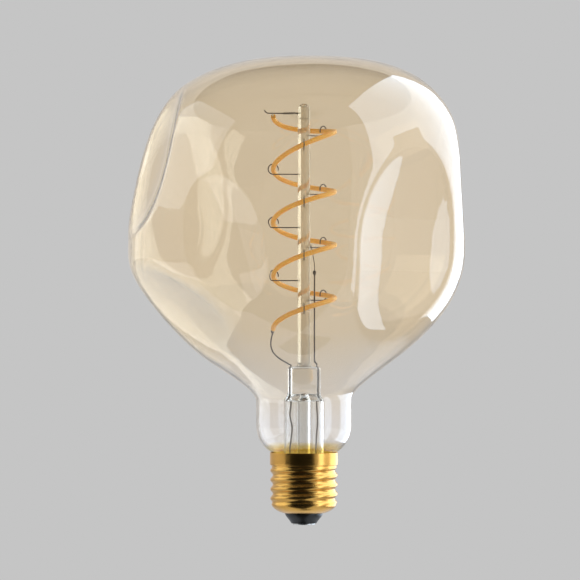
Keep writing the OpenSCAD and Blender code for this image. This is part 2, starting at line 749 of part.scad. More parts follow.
// A chip body under the board, with a row of legs on each long side
module chip(size, legs) {
    translate([-size.x / 2, -size.y / 2, -size.z]) cube([size.x, size.y, size.z - part_gap]);
    for (i = [0:legs - 1], side = [-1, 1]) {
        x = (i - (legs - 1) / 2) * (size.x - 2 * LEG_ROW_EDGE) / (legs - 1);
        translate([x - LEG.x / 2, side > 0 ? size.y / 2 : -size.y / 2 - LEG.y, -LEG.z - bond_gap]) cube(LEG);
        translate([x - LEG.x / 2, side > 0 ? size.y / 2 : -size.y / 2 - LEG.z, -size.z / 2 - LEG.z])
            cube([LEG.x, LEG.z, size.z / 2]);
    }
}

module bridge_rectifier() {
    color([0.15, 0.15, 0.16])
    translate([RECTIFIER_PLACE.x, RECTIFIER_PLACE.y, board_z]) chip(RECTIFIER, 2);
}

module driver_chip() {
    color([0.1, 0.1, 0.11])
    translate([CHIP_PLACE.x, CHIP_PLACE.y, board_z]) chip(CHIP, 4);
}

// Axial fusible resistor lying under the board
module fusible_resistor() {
    r = RESISTOR_W / 2;
    x = RESISTOR_LEN / 2;
    color("seagreen")
    translate([RESISTOR_PLACE.x, RESISTOR_PLACE.y, board_z - r - part_gap]) {
        rotate([0, 90, 0]) cylinder(r = r * 0.86, h = RESISTOR_LEN - 2, center = true);
        for (side = [-1, 1]) {
            translate([side * (x - RESISTOR_CAP / 2), 0, 0]) rotate([0, 90, 0])
                cylinder(r = r, h = RESISTOR_CAP, center = true);
            translate([side * (x + 0.2), 0, 0]) rotate([0, 90, 0])
                cylinder(r = RESISTOR_WIRE_R, h = 0.8, center = true);
            translate([side * (x + 0.6), 0, -RESISTOR_LEG_R])
                cylinder(r = RESISTOR_LEG_R, h = r + RESISTOR_LEG_R + part_gap - bond_gap);
        }
    }
}

// Drum-core inductor under the board, wound between its two flanges
module filter_inductor() {
    r = INDUCTOR_W / 2;
    flange = 0.6;
    color("saddlebrown")
    translate([INDUCTOR_PLACE.x, INDUCTOR_PLACE.y, board_z - INDUCTOR_H - part_gap]) {
        cylinder(r = r, h = flange);
        translate([0, 0, INDUCTOR_H - flange]) cylinder(r = r, h = flange);
        cylinder(r = r * 0.8, h = INDUCTOR_H);
    }
}

module smoothing_capacitor() {
    r = capacitor_w / 2;
    color([0.2, 0.22, 0.3]) translate([capacitor_x, CAPACITOR_Y, board_top + part_gap])
        rotate_extrude() difference() {
            square([r, capacitor_h]);
            translate([r, CAPACITOR_GROOVE_Z]) circle(r = CAPACITOR_GROOVE_R);
            translate([0, capacitor_h - CAPACITOR_CRIMP]) square([r * 0.75, 1]);
        }
}

// Upright radio card in the board's slot, its antenna end up by the mouth of the cap
module wireless_module() {
    color("navy")
    translate([0, module_y, board_top - MODULE_SINK + bond_gap + module_size.z / 2])
        cube(module_size, center = true);
}

module module_shield() {
    color("lightsteelblue")
    translate([-SHIELD.x / 2, module_y + module_size.y / 2 + bond_gap, board_top + SHIELD_RISE]) cube(SHIELD);
}

// Insulated wire from the centre contact up through the cup's floor to the board
module live_wire() {
    color("firebrick") translate([LIVE_WIRE_X, 0, LIVE_WIRE_Z + bond_gap])
        cylinder(r = WIRE_R, h = board_top + WIRE_END - LIVE_WIRE_Z - bond_gap);
}

SOLDER_R = 0.45;
solder_z = cup_z + cup_h + 0.9;
solder_r = thread_r(NEUTRAL_AZIMUTH, solder_z) - sheet_t - SOLDER_R - 2 * bond_gap;
neutral_dir = [cos(NEUTRAL_AZIMUTH), sin(NEUTRAL_AZIMUTH), 0];
neutral_path = [
    neutral_dir * neutral_r + [0, 0, board_z - WIRE_END], neutral_dir * neutral_r + [0, 0, board_top + 2.6],
    neutral_dir * (neutral_r + 0.1) + [0, 0, cup_z + cup_h - 0.4],
    neutral_dir * (neutral_r + 0.4) + [0, 0, solder_z - 0.3],
    neutral_dir * (solder_r - SOLDER_R - 0.6) + [0, 0, solder_z],
    neutral_dir * (solder_r - SOLDER_R - bond_gap) + [0, 0, solder_z]
];

// Bare wire from the board over the cup's edge to the inside of the brass cap
module neutral_wire() {
    color("gainsboro") loft(carried(neutral_path, round_outline(WIRE_R, 8), cross(neutral_dir, [0, 0, 1])));
}

module shell_solder() {
    color("lightgray") bead(neutral_dir * solder_r + [0, 0, solder_z], SOLDER_R);
}

glass_envelope();
stem_flare_tube();
stem_press();
exhaust_tube();
support_rod();
support_hooks();
top_arm();
filament_carrier();
filament_outer_coat();
filament_inner_coat();
filament_end_tabs();
short_lead();
long_lead();
riser_wire();
weld_beads();
cap_shell();
cap_insulator();
centre_contact();
contact_solder();
capping_cement();
driver_cup();
driver_board();
bridge_rectifier();
driver_chip();
fusible_resistor();
filter_inductor();
smoothing_capacitor();
wireless_module();
module_shield();
live_wire();
neutral_wire();
shell_solder();
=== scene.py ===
"""Finish of the smart filament light bulb: blown amber globe, glass stem, filament coil and screw cap.

The bulb's sizes are in millimetres, measured from the centre contact's outer face, and are turned
into metres when a mesh is made. The studio's are in metres.
"""
import logging
import math
from collections.abc import Callable, Iterable, Sequence
from dataclasses import dataclass, field
from enum import Enum
from typing import Any

import bmesh
import bpy
import numpy as np
from bpy.types import Material, Mesh, Node, NodeSocket, NodeTree, Object
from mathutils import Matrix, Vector

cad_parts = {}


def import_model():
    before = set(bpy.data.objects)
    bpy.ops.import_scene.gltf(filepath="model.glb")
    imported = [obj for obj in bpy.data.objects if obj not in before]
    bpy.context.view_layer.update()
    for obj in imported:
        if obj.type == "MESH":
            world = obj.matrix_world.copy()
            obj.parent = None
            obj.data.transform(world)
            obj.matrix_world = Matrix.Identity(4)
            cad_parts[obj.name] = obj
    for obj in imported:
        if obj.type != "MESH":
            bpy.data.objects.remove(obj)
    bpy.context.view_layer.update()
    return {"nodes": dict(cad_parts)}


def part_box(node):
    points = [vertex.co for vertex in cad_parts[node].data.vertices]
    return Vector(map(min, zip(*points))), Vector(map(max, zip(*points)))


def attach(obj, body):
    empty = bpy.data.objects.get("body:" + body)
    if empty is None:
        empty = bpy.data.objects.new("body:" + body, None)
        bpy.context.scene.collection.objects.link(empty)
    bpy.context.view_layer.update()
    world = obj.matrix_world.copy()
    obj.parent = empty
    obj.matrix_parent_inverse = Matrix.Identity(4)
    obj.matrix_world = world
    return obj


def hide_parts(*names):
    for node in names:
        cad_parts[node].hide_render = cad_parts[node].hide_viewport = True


MM = 0.001
BODY = "root"
SHARP_DEG = 40.0
BOND_GAP = 0.04
LOG = logging.getLogger("bulb")

Point = Sequence[float]
Outline = list[tuple[float, float]]
Faces = list[tuple[int, ...]]
Colour = tuple[float, float, float]


class CoatSide(Enum):
    """Which face of the flexible carrier a half of the silicone coat covers."""

    OUTER = 1
    INNER = -1


# ---------------------------------------------------------------- curves and meshes


def bezier(a: Point, b: Point, c: Point, d: Point, count: int) -> list[np.ndarray]:
    """Points along a cubic curve.

    Args:
        a, b, c, d: The start, the two handles and the end.
        count: How many steps to take.

    Returns:
        The points, count + 1 of them, both ends included.
    """
    a, b, c, d = (np.array(p, float) for p in (a, b, c, d))
    steps = [i / count for i in range(count + 1)]
    return [(1 - t) ** 3 * a + 3 * t * (1 - t) ** 2 * b + 3 * t * t * (1 - t) * c + t ** 3 * d
            for t in steps]


def rounded_path(points: Sequence[Point], per_span: int) -> list[np.ndarray]:
    """A smooth path through given points.

    Args:
        points: The points that the path goes through.
        per_span: Steps between each two of them.

    Returns:
        The points of the smooth path.
    """
    p = [np.array(q, float) for q in points]
    p = [2 * p[0] - p[1]] + p + [2 * p[-1] - p[-2]]
    path = []
    for i in range(1, len(p) - 2):
        handle_a, handle_b = (p[i + 1] - p[i - 1]) / 6, (p[i + 2] - p[i]) / 6
        path += bezier(p[i], p[i] + handle_a, p[i + 1] - handle_b, p[i + 1], per_span)[:-1]
    return path + [p[-2]]


def even_outline(outline: Sequence[Point], count: int) -> Outline:
    """The same outline with its points spread evenly along its length.

    Args:
        outline: Radius and height pairs.
        count: How many steps to divide it into.

    Returns:
        The new radius and height pairs.
    """
    p = np.array(outline, float)
    run = np.concatenate([[0], np.cumsum(np.linalg.norm(np.diff(p, axis=0), axis=1))])
    at = np.linspace(0, run[-1], count + 1)
    return list(zip(np.interp(at, run, p[:, 0]), np.interp(at, run, p[:, 1])))


def round_angles(sides: int) -> np.ndarray:
    """Angles spread evenly round the axis."""
    return np.arange(sides) * 2 * math.pi / sides


def grid_faces(rows: int, columns: int, closed: bool = False) -> Faces:
    """Faces between rows of points that all hold the same number.

    Args:
        rows: How many rows there are.
        columns: How many points a row holds.
        closed: True where a row's end joins its start.

    Returns:
        The faces.
    """
    faces = []
    for low in range(0, (rows - 1) * columns, columns):
        for j in range(columns if closed else columns - 1):
            k = (j + 1) % columns
            faces.append((low + j, low + k, low + columns + k, low + columns + j))
    return faces


def lathe(outline: Sequence[Point], sides: int, loop: bool = False) -> tuple[np.ndarray, Faces]:
    """Turns an outline about the axis. A point on the axis becomes a closed pole.

    Args:
        outline: Radius and height pairs.
        sides: How many sides the turned surface has.
        loop: True where the outline's end joins its start, as round a tube's wall.

    Returns:
        The vertices and the faces.
    """
    angles = round_angles(sides)
    points, rings = [], []
    for r, z in outline:
        if r < 1e-9:
            rings.append([len(points)] * sides)
            points.append((0.0, 0.0, z))
        else:
            rings.append(list(range(len(points), len(points) + sides)))
            points += [(r * math.cos(a), r * math.sin(a), z) for a in angles]
    faces = []
    pairs = list(zip(rings, rings[1:] + rings[:1])) if loop else list(zip(rings, rings[1:]))
    for low, high in pairs:
        for j in range(sides):
            k = (j + 1) % sides
            face = tuple(dict.fromkeys((low[j], low[k], high[k], high[j])))
            if len(face) > 2:
                faces.append(face)
    return np.array(points), faces


def plain_mesh(name: str, points: Iterable[Point], faces: Faces,
               edges: Sequence[tuple[int, int]] = ()) -> Mesh:
    """A mesh in metres from points in millimetres, its faces turned outwards.

    Args:
        name: Name of the mesh.
        points: The vertices, in millimetres.
        faces: The faces, or none for a path.
        edges: The edges of a path.

    Returns:
        The mesh.
    """
    mesh = bpy.data.meshes.new(name)
    mesh.from_pydata([tuple(float(x) * MM for x in p) for p in points], list(edges), faces)
    if faces:
        work = bmesh.new()
        work.from_mesh(mesh)
        bmesh.ops.recalc_face_normals(work, faces=work.faces)
        work.to_mesh(mesh)
        work.free()
    return mesh


def in_scene(name: str, data: Any) -> Object:
    """A new object in the scene.

    Args:
        name: Its name.
        data: The mesh, light or camera that it shows.

    Returns:
        The object.
    """
    thing = bpy.data.objects.new(name, data)
    bpy.context.scene.collection.objects.link(thing)
    return thing


def piece_of(name: str, mesh: Mesh, finish: Material | None = None) -> Object:
    """An object in the scene that shows a mesh with smooth faces.

    Args:
        name: Name of the piece.
        mesh: Its mesh.
        finish: Its material, or None where the mesh already carries one.

    Returns:
        The object.
    """
    if finish:
        mesh.materials.clear()
        mesh.materials.append(finish)
    mesh.polygons.foreach_set("use_smooth", [True] * len(mesh.polygons))
    mesh.set_sharp_from_angle(angle=math.radians(SHARP_DEG))
    return in_scene(name, mesh)


def thicken(piece: Object, wall_mm: float) -> None:
    """Gives a piece's skin a wall that grows inwards.

    Args:
        piece: The piece.
        wall_mm: The wall's thickness.
    """
    wall = piece.modifiers.new("Wall", "SOLIDIFY")
    wall.thickness = wall_mm * MM
    wall.offset = -1


def turned(name: str, outline: Sequence[Point], sides: int, finish: Material,
           loop: bool = False) -> Object:
    """A piece turned about the bulb's axis from radius and height pairs."""
    points, faces = lathe(outline, sides, loop)
    return piece_of(name, plain_mesh(name, points, faces), finish)


def seat(piece: Object, slot: str, *nodes: str) -> None:
    """Fastens a finished piece to the bulb in place of its plain nodes and reports it.

    Args:
        piece: The finished piece.
        slot: Name of the slot that holds its finish; not used.
        *nodes: The nodes that it stands for.
    """
    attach(piece, BODY)
    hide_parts(*nodes)
    LOG.info("%s: %d faces, stands for %s", piece.name, len(piece.data.polygons), ", ".join(nodes))


def low_z(node: str) -> float:
    """Height of a node's lowest point, in millimetres."""
    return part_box(node)[0].z / MM


def top_z(node: str) -> float:
    """Height of a node's highest point, in millimetres."""
    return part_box(node)[1].z / MM


# ---------------------------------------------------------------- node trees


def sign(operation: str, swapped: bool = False) -> Callable[["Value", Any], "Value"]:
    """What one of Python's signs does between two values of a node tree.

    Args:
        operation: Blender's name of the operation.
        swapped: True where the other value comes first.

    Returns:
        The method for the sign.
    """
    def between(value: "Value", other: Any) -> "Value":
        """The result of the operation."""
        return value.tree.math(operation, *((other, value) if swapped else (value, other)))
    return between


class Value:
    """A socket of a node tree, which takes Python's own signs where it holds a number."""

    def __init__(self, tree: "Tree", socket: NodeSocket) -> None:
        """Holds the socket and its tree."""
        self.tree, self.socket = tree, socket

    __add__, __radd__ = sign("ADD"), sign("ADD", True)
    __sub__, __rsub__ = sign("SUBTRACT"), sign("SUBTRACT", True)
    __mul__, __rmul__ = sign("MULTIPLY"), sign("MULTIPLY", True)
    __truediv__, __rtruediv__ = sign("DIVIDE"), sign("DIVIDE", True)


class Tree:
    """A node tree under construction, for geometry or for a material."""

    def __init__(self, tree: NodeTree) -> None:
        """Empties the tree and builds in it."""
        self.tree = tree
        self.tree.nodes.clear()

    def fill(self, socket: NodeSocket, value: Any) -> None:
        """Links a socket to another one, or sets its value.

        Args:
            socket: The input to fill.
            value: An output socket, or a plain value.
        """
        if isinstance(value, Value):
            value = value.socket
        if isinstance(value, NodeSocket):
            self.tree.links.new(value, socket)
        else:
            socket.default_value = value

    def put(self, kind: str, inputs: dict[str | int, Any] | None = None, **settings: Any) -> Node:
        """Adds one node.

        Args:
            kind: Blender's name of the node type.
            inputs: What fills its inputs, by name or number.
            **settings: Its other settings.

        Returns:
            The node.
        """
        node = self.tree.nodes.new(kind)
        for name, value in settings.items():
            setattr(node, name, value)
        for key, value in (inputs or {}).items():
            self.fill(node.inputs[key], value)
        return node

    def math(self, operation: str, *values: Any, clamp: bool = False) -> Value:
        """The result of Blender's operation on numbers, kept between 0 and 1 where clamp is True."""
        node = self.put("ShaderNodeMath", dict(enumerate(values)), operation=operation, use_clamp=clamp)
        return Value(self, node.outputs[0])

    def vector(self, operation: str, *values: Any) -> Value:
        """The result of a sum on vectors.

        Args:
            operation: Blender's name of the operation.
            *values: Vectors or sockets, and for SCALE a number last.

        Returns:
            The result, a number for DOT_PRODUCT.
        """
        keys = (0, "Scale") if operation == "SCALE" else (0, 1)
        node = self.put("ShaderNodeVectorMath", dict(zip(keys, values)), operation=operation)
        return Value(self, node.outputs["Value" if operation == "DOT_PRODUCT" else "Vector"])

    def parts(self, vector: NodeSocket) -> list[Value]:
        """The X, Y and Z of a vector."""
        return [Value(self, part) for part in self.put("ShaderNodeSeparateXYZ", {0: vector}).outputs]

    def joined(self, x: Any, y: Any, z: Any) -> NodeSocket:
        """The vector socket made of three numbers."""
        return self.put("ShaderNodeCombineXYZ", {0: x, 1: y, 2: z}).outputs[0]


class GeometryTree(Tree):
    """A Geometry Nodes tree with named inputs, which ends in real faces that carry a material."""

    def __init__(self, name: str, sizes: dict[str, float | tuple | None], gives: str = "Geometry") -> None:
        """Makes the tree and its inputs.

        Args:
            name: Name of the tree.
            sizes: The name of each input, with its usual value.
            gives: "Geometry", or "Vector" for a rule that other trees use.
        """
        super().__init__(bpy.data.node_groups.new(name, "GeometryNodeTree"))
        sockets = self.tree.interface
        if gives == "Geometry":
            sockets.new_socket(name="Geometry", in_out="INPUT", socket_type="NodeSocketGeometry")
            sockets.new_socket(name="Finish", in_out="INPUT", socket_type="NodeSocketMaterial")
        sockets.new_socket(name=gives, in_out="OUTPUT", socket_type=f"NodeSocket{gives}")
        for key, value in sizes.items():
            kind = "NodeSocketVector" if isinstance(value, tuple) else "NodeSocketFloat"
            sockets.new_socket(name=key, in_out="INPUT", socket_type=kind).default_value = value
        self.given = self.put("NodeGroupInput").outputs
        self.result = self.put("NodeGroupOutput")

    def __getitem__(self, name: str) -> Value:
        """What one of the tree's inputs gives."""
        return Value(self, self.given[name])

    def moved(self, geometry: NodeSocket, **where: Any) -> NodeSocket:
        """Geometry whose points are set to a Position or shifted by an Offset."""
        return self.put("GeometryNodeSetPosition", {"Geometry": geometry, **where}).outputs[0]

    def swept(self, curve: NodeSocket, outline: NodeSocket) -> NodeSocket:
        """A closed skin where an outline is carried along a curve."""
        inputs = {"Curve": curve, "Profile Curve": outline, "Fill Caps": True}
        return self.put("GeometryNodeCurveToMesh", inputs).outputs[0]

    def round_outline(self, radius: Any, sides: int) -> NodeSocket:
        """A circle to carry along a curve."""
        size = {"Resolution": sides, "Radius": radius}
        return self.put("GeometryNodeCurvePrimitiveCircle", size).outputs[0]

    def end(self, geometry: NodeSocket) -> NodeTree:
        """Closes the tree with real faces in one material.

        Args:
            geometry: The geometry to give out.

        Returns:
            The finished tree.
        """
        real = self.put("GeometryNodeRealizeInstances", {"Geometry": geometry}).outputs[0]
        dressed = self.put("GeometryNodeSetMaterial", {"Geometry": real, "Material": self["Finish"]})
        self.fill(self.result.inputs[0], dressed.outputs[0])
        return self.tree


def grown(name: str, tree: NodeTree, base: Mesh, finish: Material,
          **sizes: float) -> Object:
    """Runs a geometry tree on a mesh and keeps the result as a plain mesh.

    Args:
        name: Name of the piece.
        tree: The finished tree.
        base: The mesh that it starts from.
        finish: The material that it gives the faces.
        **sizes: Values for its inputs, with _ in place of a space.

    Returns:
        The object, with no modifier left.
    """
    host = in_scene(name + "_base", base)
    modifier = host.modifiers.new("Shape", "NODES")
    modifier.node_group = tree
    values = {key.replace("_", " "): value for key, value in sizes.items()} | {"Finish": finish}
    for item in tree.interface.items_tree:
        if item.in_out == "INPUT" and item.name in values:
            modifier[item.identifier] = values[item.name]
    graph = bpy.context.evaluated_depsgraph_get()
    shaped = host.evaluated_get(graph)
    mesh = bpy.data.meshes.new_from_object(shaped, preserve_all_data_layers=True, depsgraph=graph)
    bpy.data.objects.remove(host)
    mesh.name = name
    return piece_of(name, mesh)


# ---------------------------------------------------------------- finishes


class MaterialTree(Tree):
    """The node tree of a material, fixed to the piece that wears it."""

    def place(self) -> NodeSocket:
        """Where on the piece a point lies."""
        return self.put("ShaderNodeTexCoord").outputs["Object"]

    def noise(self, size_mm: float) -> NodeSocket:
        """Clouds of a size, as a number from 0 to 1."""
        inputs = {"Vector": self.place(), "Scale": 1 / (size_mm * MM), "Detail": 3.0}
        return self.put("ShaderNodeTexNoise", inputs).outputs["Fac"]

    def between(self, value: Any, low_mm: float, high_mm: float) -> NodeSocket:
        """How far a length is from a low one to a high one, as a number from 0 to 1."""
        inputs = {"Value": value, "From Min": low_mm * MM, "From Max": high_mm * MM}
        return self.put("ShaderNodeMapRange", inputs).outputs[0]

    def ramp(self, factor: Any, stops: Sequence[tuple[float, Colour]]) -> NodeSocket:
        """Colours along a factor.

        Args:
            factor: The number that picks the colour.
            stops: Places from 0 to 1 with their colours.

        Returns:
            The socket with the colour.
        """
        node = self.put("ShaderNodeValToRGB", {"Fac": factor})
        while len(node.color_ramp.elements) < len(stops):
            node.color_ramp.elements.new(0.5)
        for element, (place, colour) in zip(node.color_ramp.elements, stops):
            element.position = place
            element.color = (*colour, 1)
        return node.outputs["Color"]

    def relief(self, shader: Node, height: Any, depth_mm: float) -> None:
        """Raises a shader's surface by a height from 0 to 1, where 1 is the depth."""
        bump = self.put("ShaderNodeBump", {"Height": height, "Distance": depth_mm * MM})
        self.fill(shader.inputs["Normal"], bump.outputs[0])


@dataclass(frozen=True)
class Finish:
    """A surface with a main colour that wanders a little, as real material does."""

    name: str
    colour: Colour
    roughness: float = 0.4
    metallic: float = 0.0
    wander: float = 0.12
    grain_mm: float = 3.0
    bump_mm: float = 0.02
    coat: float = 0.0

    def shader(self, tree: MaterialTree) -> Node:
        """The main shader with this finish's fixed values.

        Args:
            tree: The material's tree.

        Returns:
            The shader node.
        """
        shader = tree.put("ShaderNodeBsdfPrincipled", {"Metallic": self.metallic, "Coat Weight": self.coat})
        out = tree.put("ShaderNodeOutputMaterial")
        tree.fill(out.inputs["Surface"], shader.outputs[0])
        return shader

    def material(self) -> Material:
        """Builds the material.

        Returns:
            The material.
        """
        material = bpy.data.materials.new(self.name)
        material.use_nodes = True
        tree = MaterialTree(material.node_tree)
        self.dress(tree, self.shader(tree))
        return material

    def dress(self, tree: MaterialTree, shader: Node) -> None:
        """Links colour, roughness and relief.

        Args:
            tree: The material's tree.
            shader: The main shader.
        """
        cloud = tree.noise(self.grain_mm)
        dark = tuple(c * (1 - self.wander) for c in self.colour)
        light = tuple(min(1.0, c * (1 + self.wander)) for c in self.colour)
        tree.fill(shader.inputs["Base Color"], tree.ramp(cloud, [(0.3, dark), (0.7, light)]))
        rough = tree.math("MULTIPLY_ADD", cloud, self.roughness * 0.4, self.roughness * 0.8)
        tree.fill(shader.inputs["Roughness"], rough)
        tree.relief(shader, tree.noise(self.grain_mm / 4), self.bump_mm)


@dataclass(frozen=True)
class BlownGlass(Finish):
    """Glass with faint waves, whose tint fades with height and may end at its foot in a golden band, a
    painted reflection of the brass and cement round the neck.
    """

    foot_colour: Colour = (1.0, 1.0, 1.0)
    foot_z: float = 40.0
    full_z: float = 75.0
    ior: float = 1.5
    absorbed: Colour = (1.0, 1.0, 1.0)
    density: float = 0.0
    milk: float = 0.0
    # Colour, height and blend of the painted reflection of the brass and cement at the neck's foot.
    painted_reflection_colour: Colour = (1.0, 1.0, 1.0)
    painted_reflection_z: float = 0.0
    painted_reflection_height: float = 2.0
    painted_reflection_share: float = 0.2
    painted_reflection_end: float = 0.16

    def shader(self, tree: MaterialTree) -> Node:
        """The glass shader, with a body that darkens with depth where it has a density.

        Args:
            tree: The material's tree.

        Returns:
            The shader node.
        """
        shader = super().shader(tree)
        shader.inputs["Transmission Weight"].default_value = 1.0 - self.milk
        shader.inputs["IOR"].default_value = self.ior
        shader.inputs["Roughness"].default_value = self.roughness
        if self.density:
            depth = {"Color": (*self.absorbed, 1), "Density": self.density}
            body = tree.put("ShaderNodeVolumeAbsorption", depth)
            tree.fill(tree.tree.nodes["Material Output"].inputs["Volume"], body.outputs[0])
        return shader

    def dress(self, tree: MaterialTree, shader: Node) -> None:
        """Links the tint to height, thickest in the globe, paints a golden reflection of the brass and cement
        at the neck's foot where one is set, and adds the waves.

        Args:
            tree: The material's tree.
            shader: The glass shader.
        """
        height = tree.parts(tree.place())[2]
        share = tree.between(height, self.foot_z, self.full_z)
        cloud = tree.noise(self.grain_mm)
        level = tree.math("SUBTRACT", share, self.wander / 2)
        streaked = tree.math("MULTIPLY_ADD", cloud, self.wander, level)
        stops = [(0, self.foot_colour), (1, self.colour)]
        # Below this height the glass is painted gold, a painted reflection of the brass collar and cement
        # inside the cap.
        if self.painted_reflection_z:
            painted_reflection = tree.between(height, self.painted_reflection_z - self.painted_reflection_height, self.painted_reflection_z)
            streaked = tree.math("MULTIPLY_ADD", streaked, 1 - self.painted_reflection_share, self.painted_reflection_share) * painted_reflection
            stops = [(0, self.painted_reflection_colour), (self.painted_reflection_end, self.foot_colour), (1, self.colour)]
        tree.fill(shader.inputs["Base Color"], tree.ramp(streaked, stops))
        tree.relief(shader, cloud, self.bump_mm)


@dataclass(frozen=True)
class SpunBrass(Finish):
    """Bright plated brass with the fine rings that rolling leaves."""

    ring_mm: float = 0.12
    across_scale: float = 60.0

    def dress(self, tree: MaterialTree, shader: Node) -> None:
        """Adds fine rings, faint stains and duller patches.

        Args:
            tree: The material's tree.
            shader: The metal shader.
        """
        stain = tree.noise(self.grain_mm)
        dark = tuple(c * 0.8 for c in self.colour)
        tree.fill(shader.inputs["Base Color"], tree.ramp(stain, [(0.3, dark), (0.65, self.colour)]))
        rough = tree.math("MULTIPLY_ADD", stain, 0.12, self.roughness - 0.06)
        tree.fill(shader.inputs["Roughness"], rough)
        scale = (self.across_scale, self.across_scale, 1 / (self.ring_mm * MM))
        stretched = tree.put("ShaderNodeMapping", {"Vector": tree.place(), "Scale": scale}).outputs[0]
        rings = tree.put("ShaderNodeTexNoise", {"Vector": stretched, "Scale": 1.0, "Detail": 2.0})
        tree.relief(shader, rings.outputs["Fac"], self.bump_mm)


@dataclass(frozen=True)
class PhosphorSilicone(Finish):
    """Orange phosphor silicone with the paler spots of the dies under it, and a faint painted glow of its
    own.
    """

    spot_mm: float = 1.1
    pale: Colour = (1.0, 0.56, 0.12)
    # Strength of a painted glow: the unlit filament shines a little by itself.
    painted_glow: float = 0.2

    def shader(self, tree: MaterialTree) -> Node:
        """The silicone shader, soft enough for light to spread in it, with a faint painted glow in the pale
        colour although the filament is unlit.

        Args:
            tree: The material's tree.

        Returns:
            The shader node.
        """
        shader = super().shader(tree)
        # The emission is a painted glow, not light from a lamp.
        values = {"Subsurface Weight": 0.25, "Subsurface Radius": (0.9 * MM, 0.45 * MM, 0.15 * MM),
                  "Subsurface Scale": 1.0, "Emission Color": (*self.pale, 1),
                  "Emission Strength": self.painted_glow}
        for name, value in values.items():
            shader.inputs[name].default_value = value
        return shader

    def dress(self, tree: MaterialTree, shader: Node) -> None:
        """Spots the colour along the filament's own length.

        Args:
            tree: The material's tree.
            shader: The silicone shader.
        """
        along = tree.put("ShaderNodeAttribute", attribute_name="along").outputs["Fac"]
        wave = tree.math("SINE", tree.math("MULTIPLY", along, 2 * math.pi / (self.spot_mm * MM)))
        cloud = tree.noise(self.grain_mm)
        spots = tree.math("MULTIPLY_ADD", wave, 0.22, cloud)
        tree.fill(shader.inputs["Base Color"], tree.ramp(spots, [(0.3, self.colour), (0.8, self.pale)]))
        rough = tree.math("MULTIPLY_ADD", cloud, 0.15, self.roughness)
        tree.fill(shader.inputs["Roughness"], rough)
        tree.relief(shader, spots, self.bump_mm)


# The amber glass's gold at the neck's foot is a painted reflection of the brass and cement.
AMBER_GLASS = BlownGlass("amber_glass", (1.0, 0.93, 0.795), roughness=0.0, wander=0.2, grain_mm=28.0,
                         bump_mm=0.12, foot_colour=(1.0, 1.0, 1.0), ior=1.55, absorbed=(0.9, 0.7, 0.5),
                         density=110.0, milk=0.015, painted_reflection_colour=(0.86, 0.66, 0.2), painted_reflection_z=31.5)
CREAM_GLASS = BlownGlass("cream_glass", (1.0, 0.93, 0.8), roughness=0.0, wander=0.1, grain_mm=6.0,
                         bump_mm=0.02, foot_colour=(1.0, 0.95, 0.84), foot_z=0.0, full_z=1.0, milk=0.3)
CLEAR_GLASS = BlownGlass("clear_glass", (0.985, 0.98, 0.965), roughness=0.0, wander=0.3, grain_mm=6.0,
                         bump_mm=0.03, foot_colour=(0.98, 0.985, 0.98), foot_z=20.0, full_z=160.0)
HOOK_WIRE = Finish("hook_wire", (0.11, 0.085, 0.07), roughness=0.38, metallic=0.85, grain_mm=1.0,
                   bump_mm=0.004)
LEAD_WIRE = Finish("lead_wire", (0.12, 0.09, 0.065), roughness=0.35, metallic=0.8, wander=0.25, grain_mm=1.4,
                   bump_mm=0.006)
CARRIER = Finish("carrier", (0.75, 0.5, 0.14), roughness=0.4, metallic=0.3, grain_mm=1.0, bump_mm=0.004)
PHOSPHOR = PhosphorSilicone("phosphor", (1.0, 0.46, 0.03), roughness=0.38, grain_mm=2.2, bump_mm=0.02,
                            coat=0.25)
CAP_BRASS = SpunBrass("cap_brass", (0.82, 0.455, 0.11), roughness=0.22, metallic=1.0, grain_mm=7.0,
                      bump_mm=0.012)
BLACK_GLASS = Finish("black_glass", (0.006, 0.006, 0.005), roughness=0.3, grain_mm=2.0, wander=0.3,
                     bump_mm=0.03)
SOLDER = Finish("solder", (0.62, 0.61, 0.58), roughness=0.32, metallic=1.0, grain_mm=0.9, bump_mm=0.02)
CEMENT = Finish("cement", (0.62, 0.5, 0.33), roughness=0.85, grain_mm=0.8, wander=0.2, bump_mm=0.08)
WHITE_PLASTIC = Finish("white_plastic", (0.78, 0.77, 0.73), roughness=0.45, grain_mm=1.5, wander=0.04)
CIRCUIT_BOARD = Finish("circuit_board", (0.03, 0.16, 0.07), roughness=0.35, grain_mm=0.6, wander=0.3,
                       coat=0.4)
RADIO_BOARD = Finish("radio_board", (0.02, 0.05, 0.2), roughness=0.35, grain_mm=0.6, wander=0.3, coat=0.4)
CHIP_BLACK = Finish("chip_black", (0.02, 0.02, 0.022), roughness=0.55, grain_mm=0.3, wander=0.25)
RESISTOR_BODY = Finish("resistor_body", (0.12, 0.34, 0.24), roughness=0.5, grain_mm=0.6, bump_mm=0.03)
INDUCTOR_CORE = Finish("inductor_core", (0.16, 0.07, 0.03), roughness=0.5, grain_mm=0.5, bump_mm=0.05)
CAPACITOR_CAN = Finish("capacitor_can", (0.05, 0.06, 0.11), roughness=0.32, grain_mm=1.0, coat=0.3)
SHIELD_TIN = Finish("shield_tin", (0.7, 0.7, 0.68), roughness=0.3, metallic=1.0, grain_mm=1.2)
FLOOR_PAINT = Finish("floor_paint", (0.72, 0.72, 0.72), roughness=0.9, wander=0.01, grain_mm=400, bump_mm=0.0)
BLACK_FELT = Finish("black_felt", (0.01, 0.01, 0.01), roughness=1.0, wander=0.1, bump_mm=0.0)
WIRE_JACKET = Finish("wire_jacket", (0.5, 0.05, 0.04), roughness=0.5, grain_mm=0.8)


# ---------------------------------------------------------------- blown globe


@dataclass(frozen=True)
class Dent:
    """One hand-pressed hollow in the globe.

    Azimuth, elevation and tilt are in degrees. Height is a share of the globe's top, the other sizes
    are in millimetres, and softness rounds the rim.
    """

    azimuth: float
    height: float
    elevation: float
    half_width: float
    half_height: float
    tilt: float
    depth: float
    softness: float


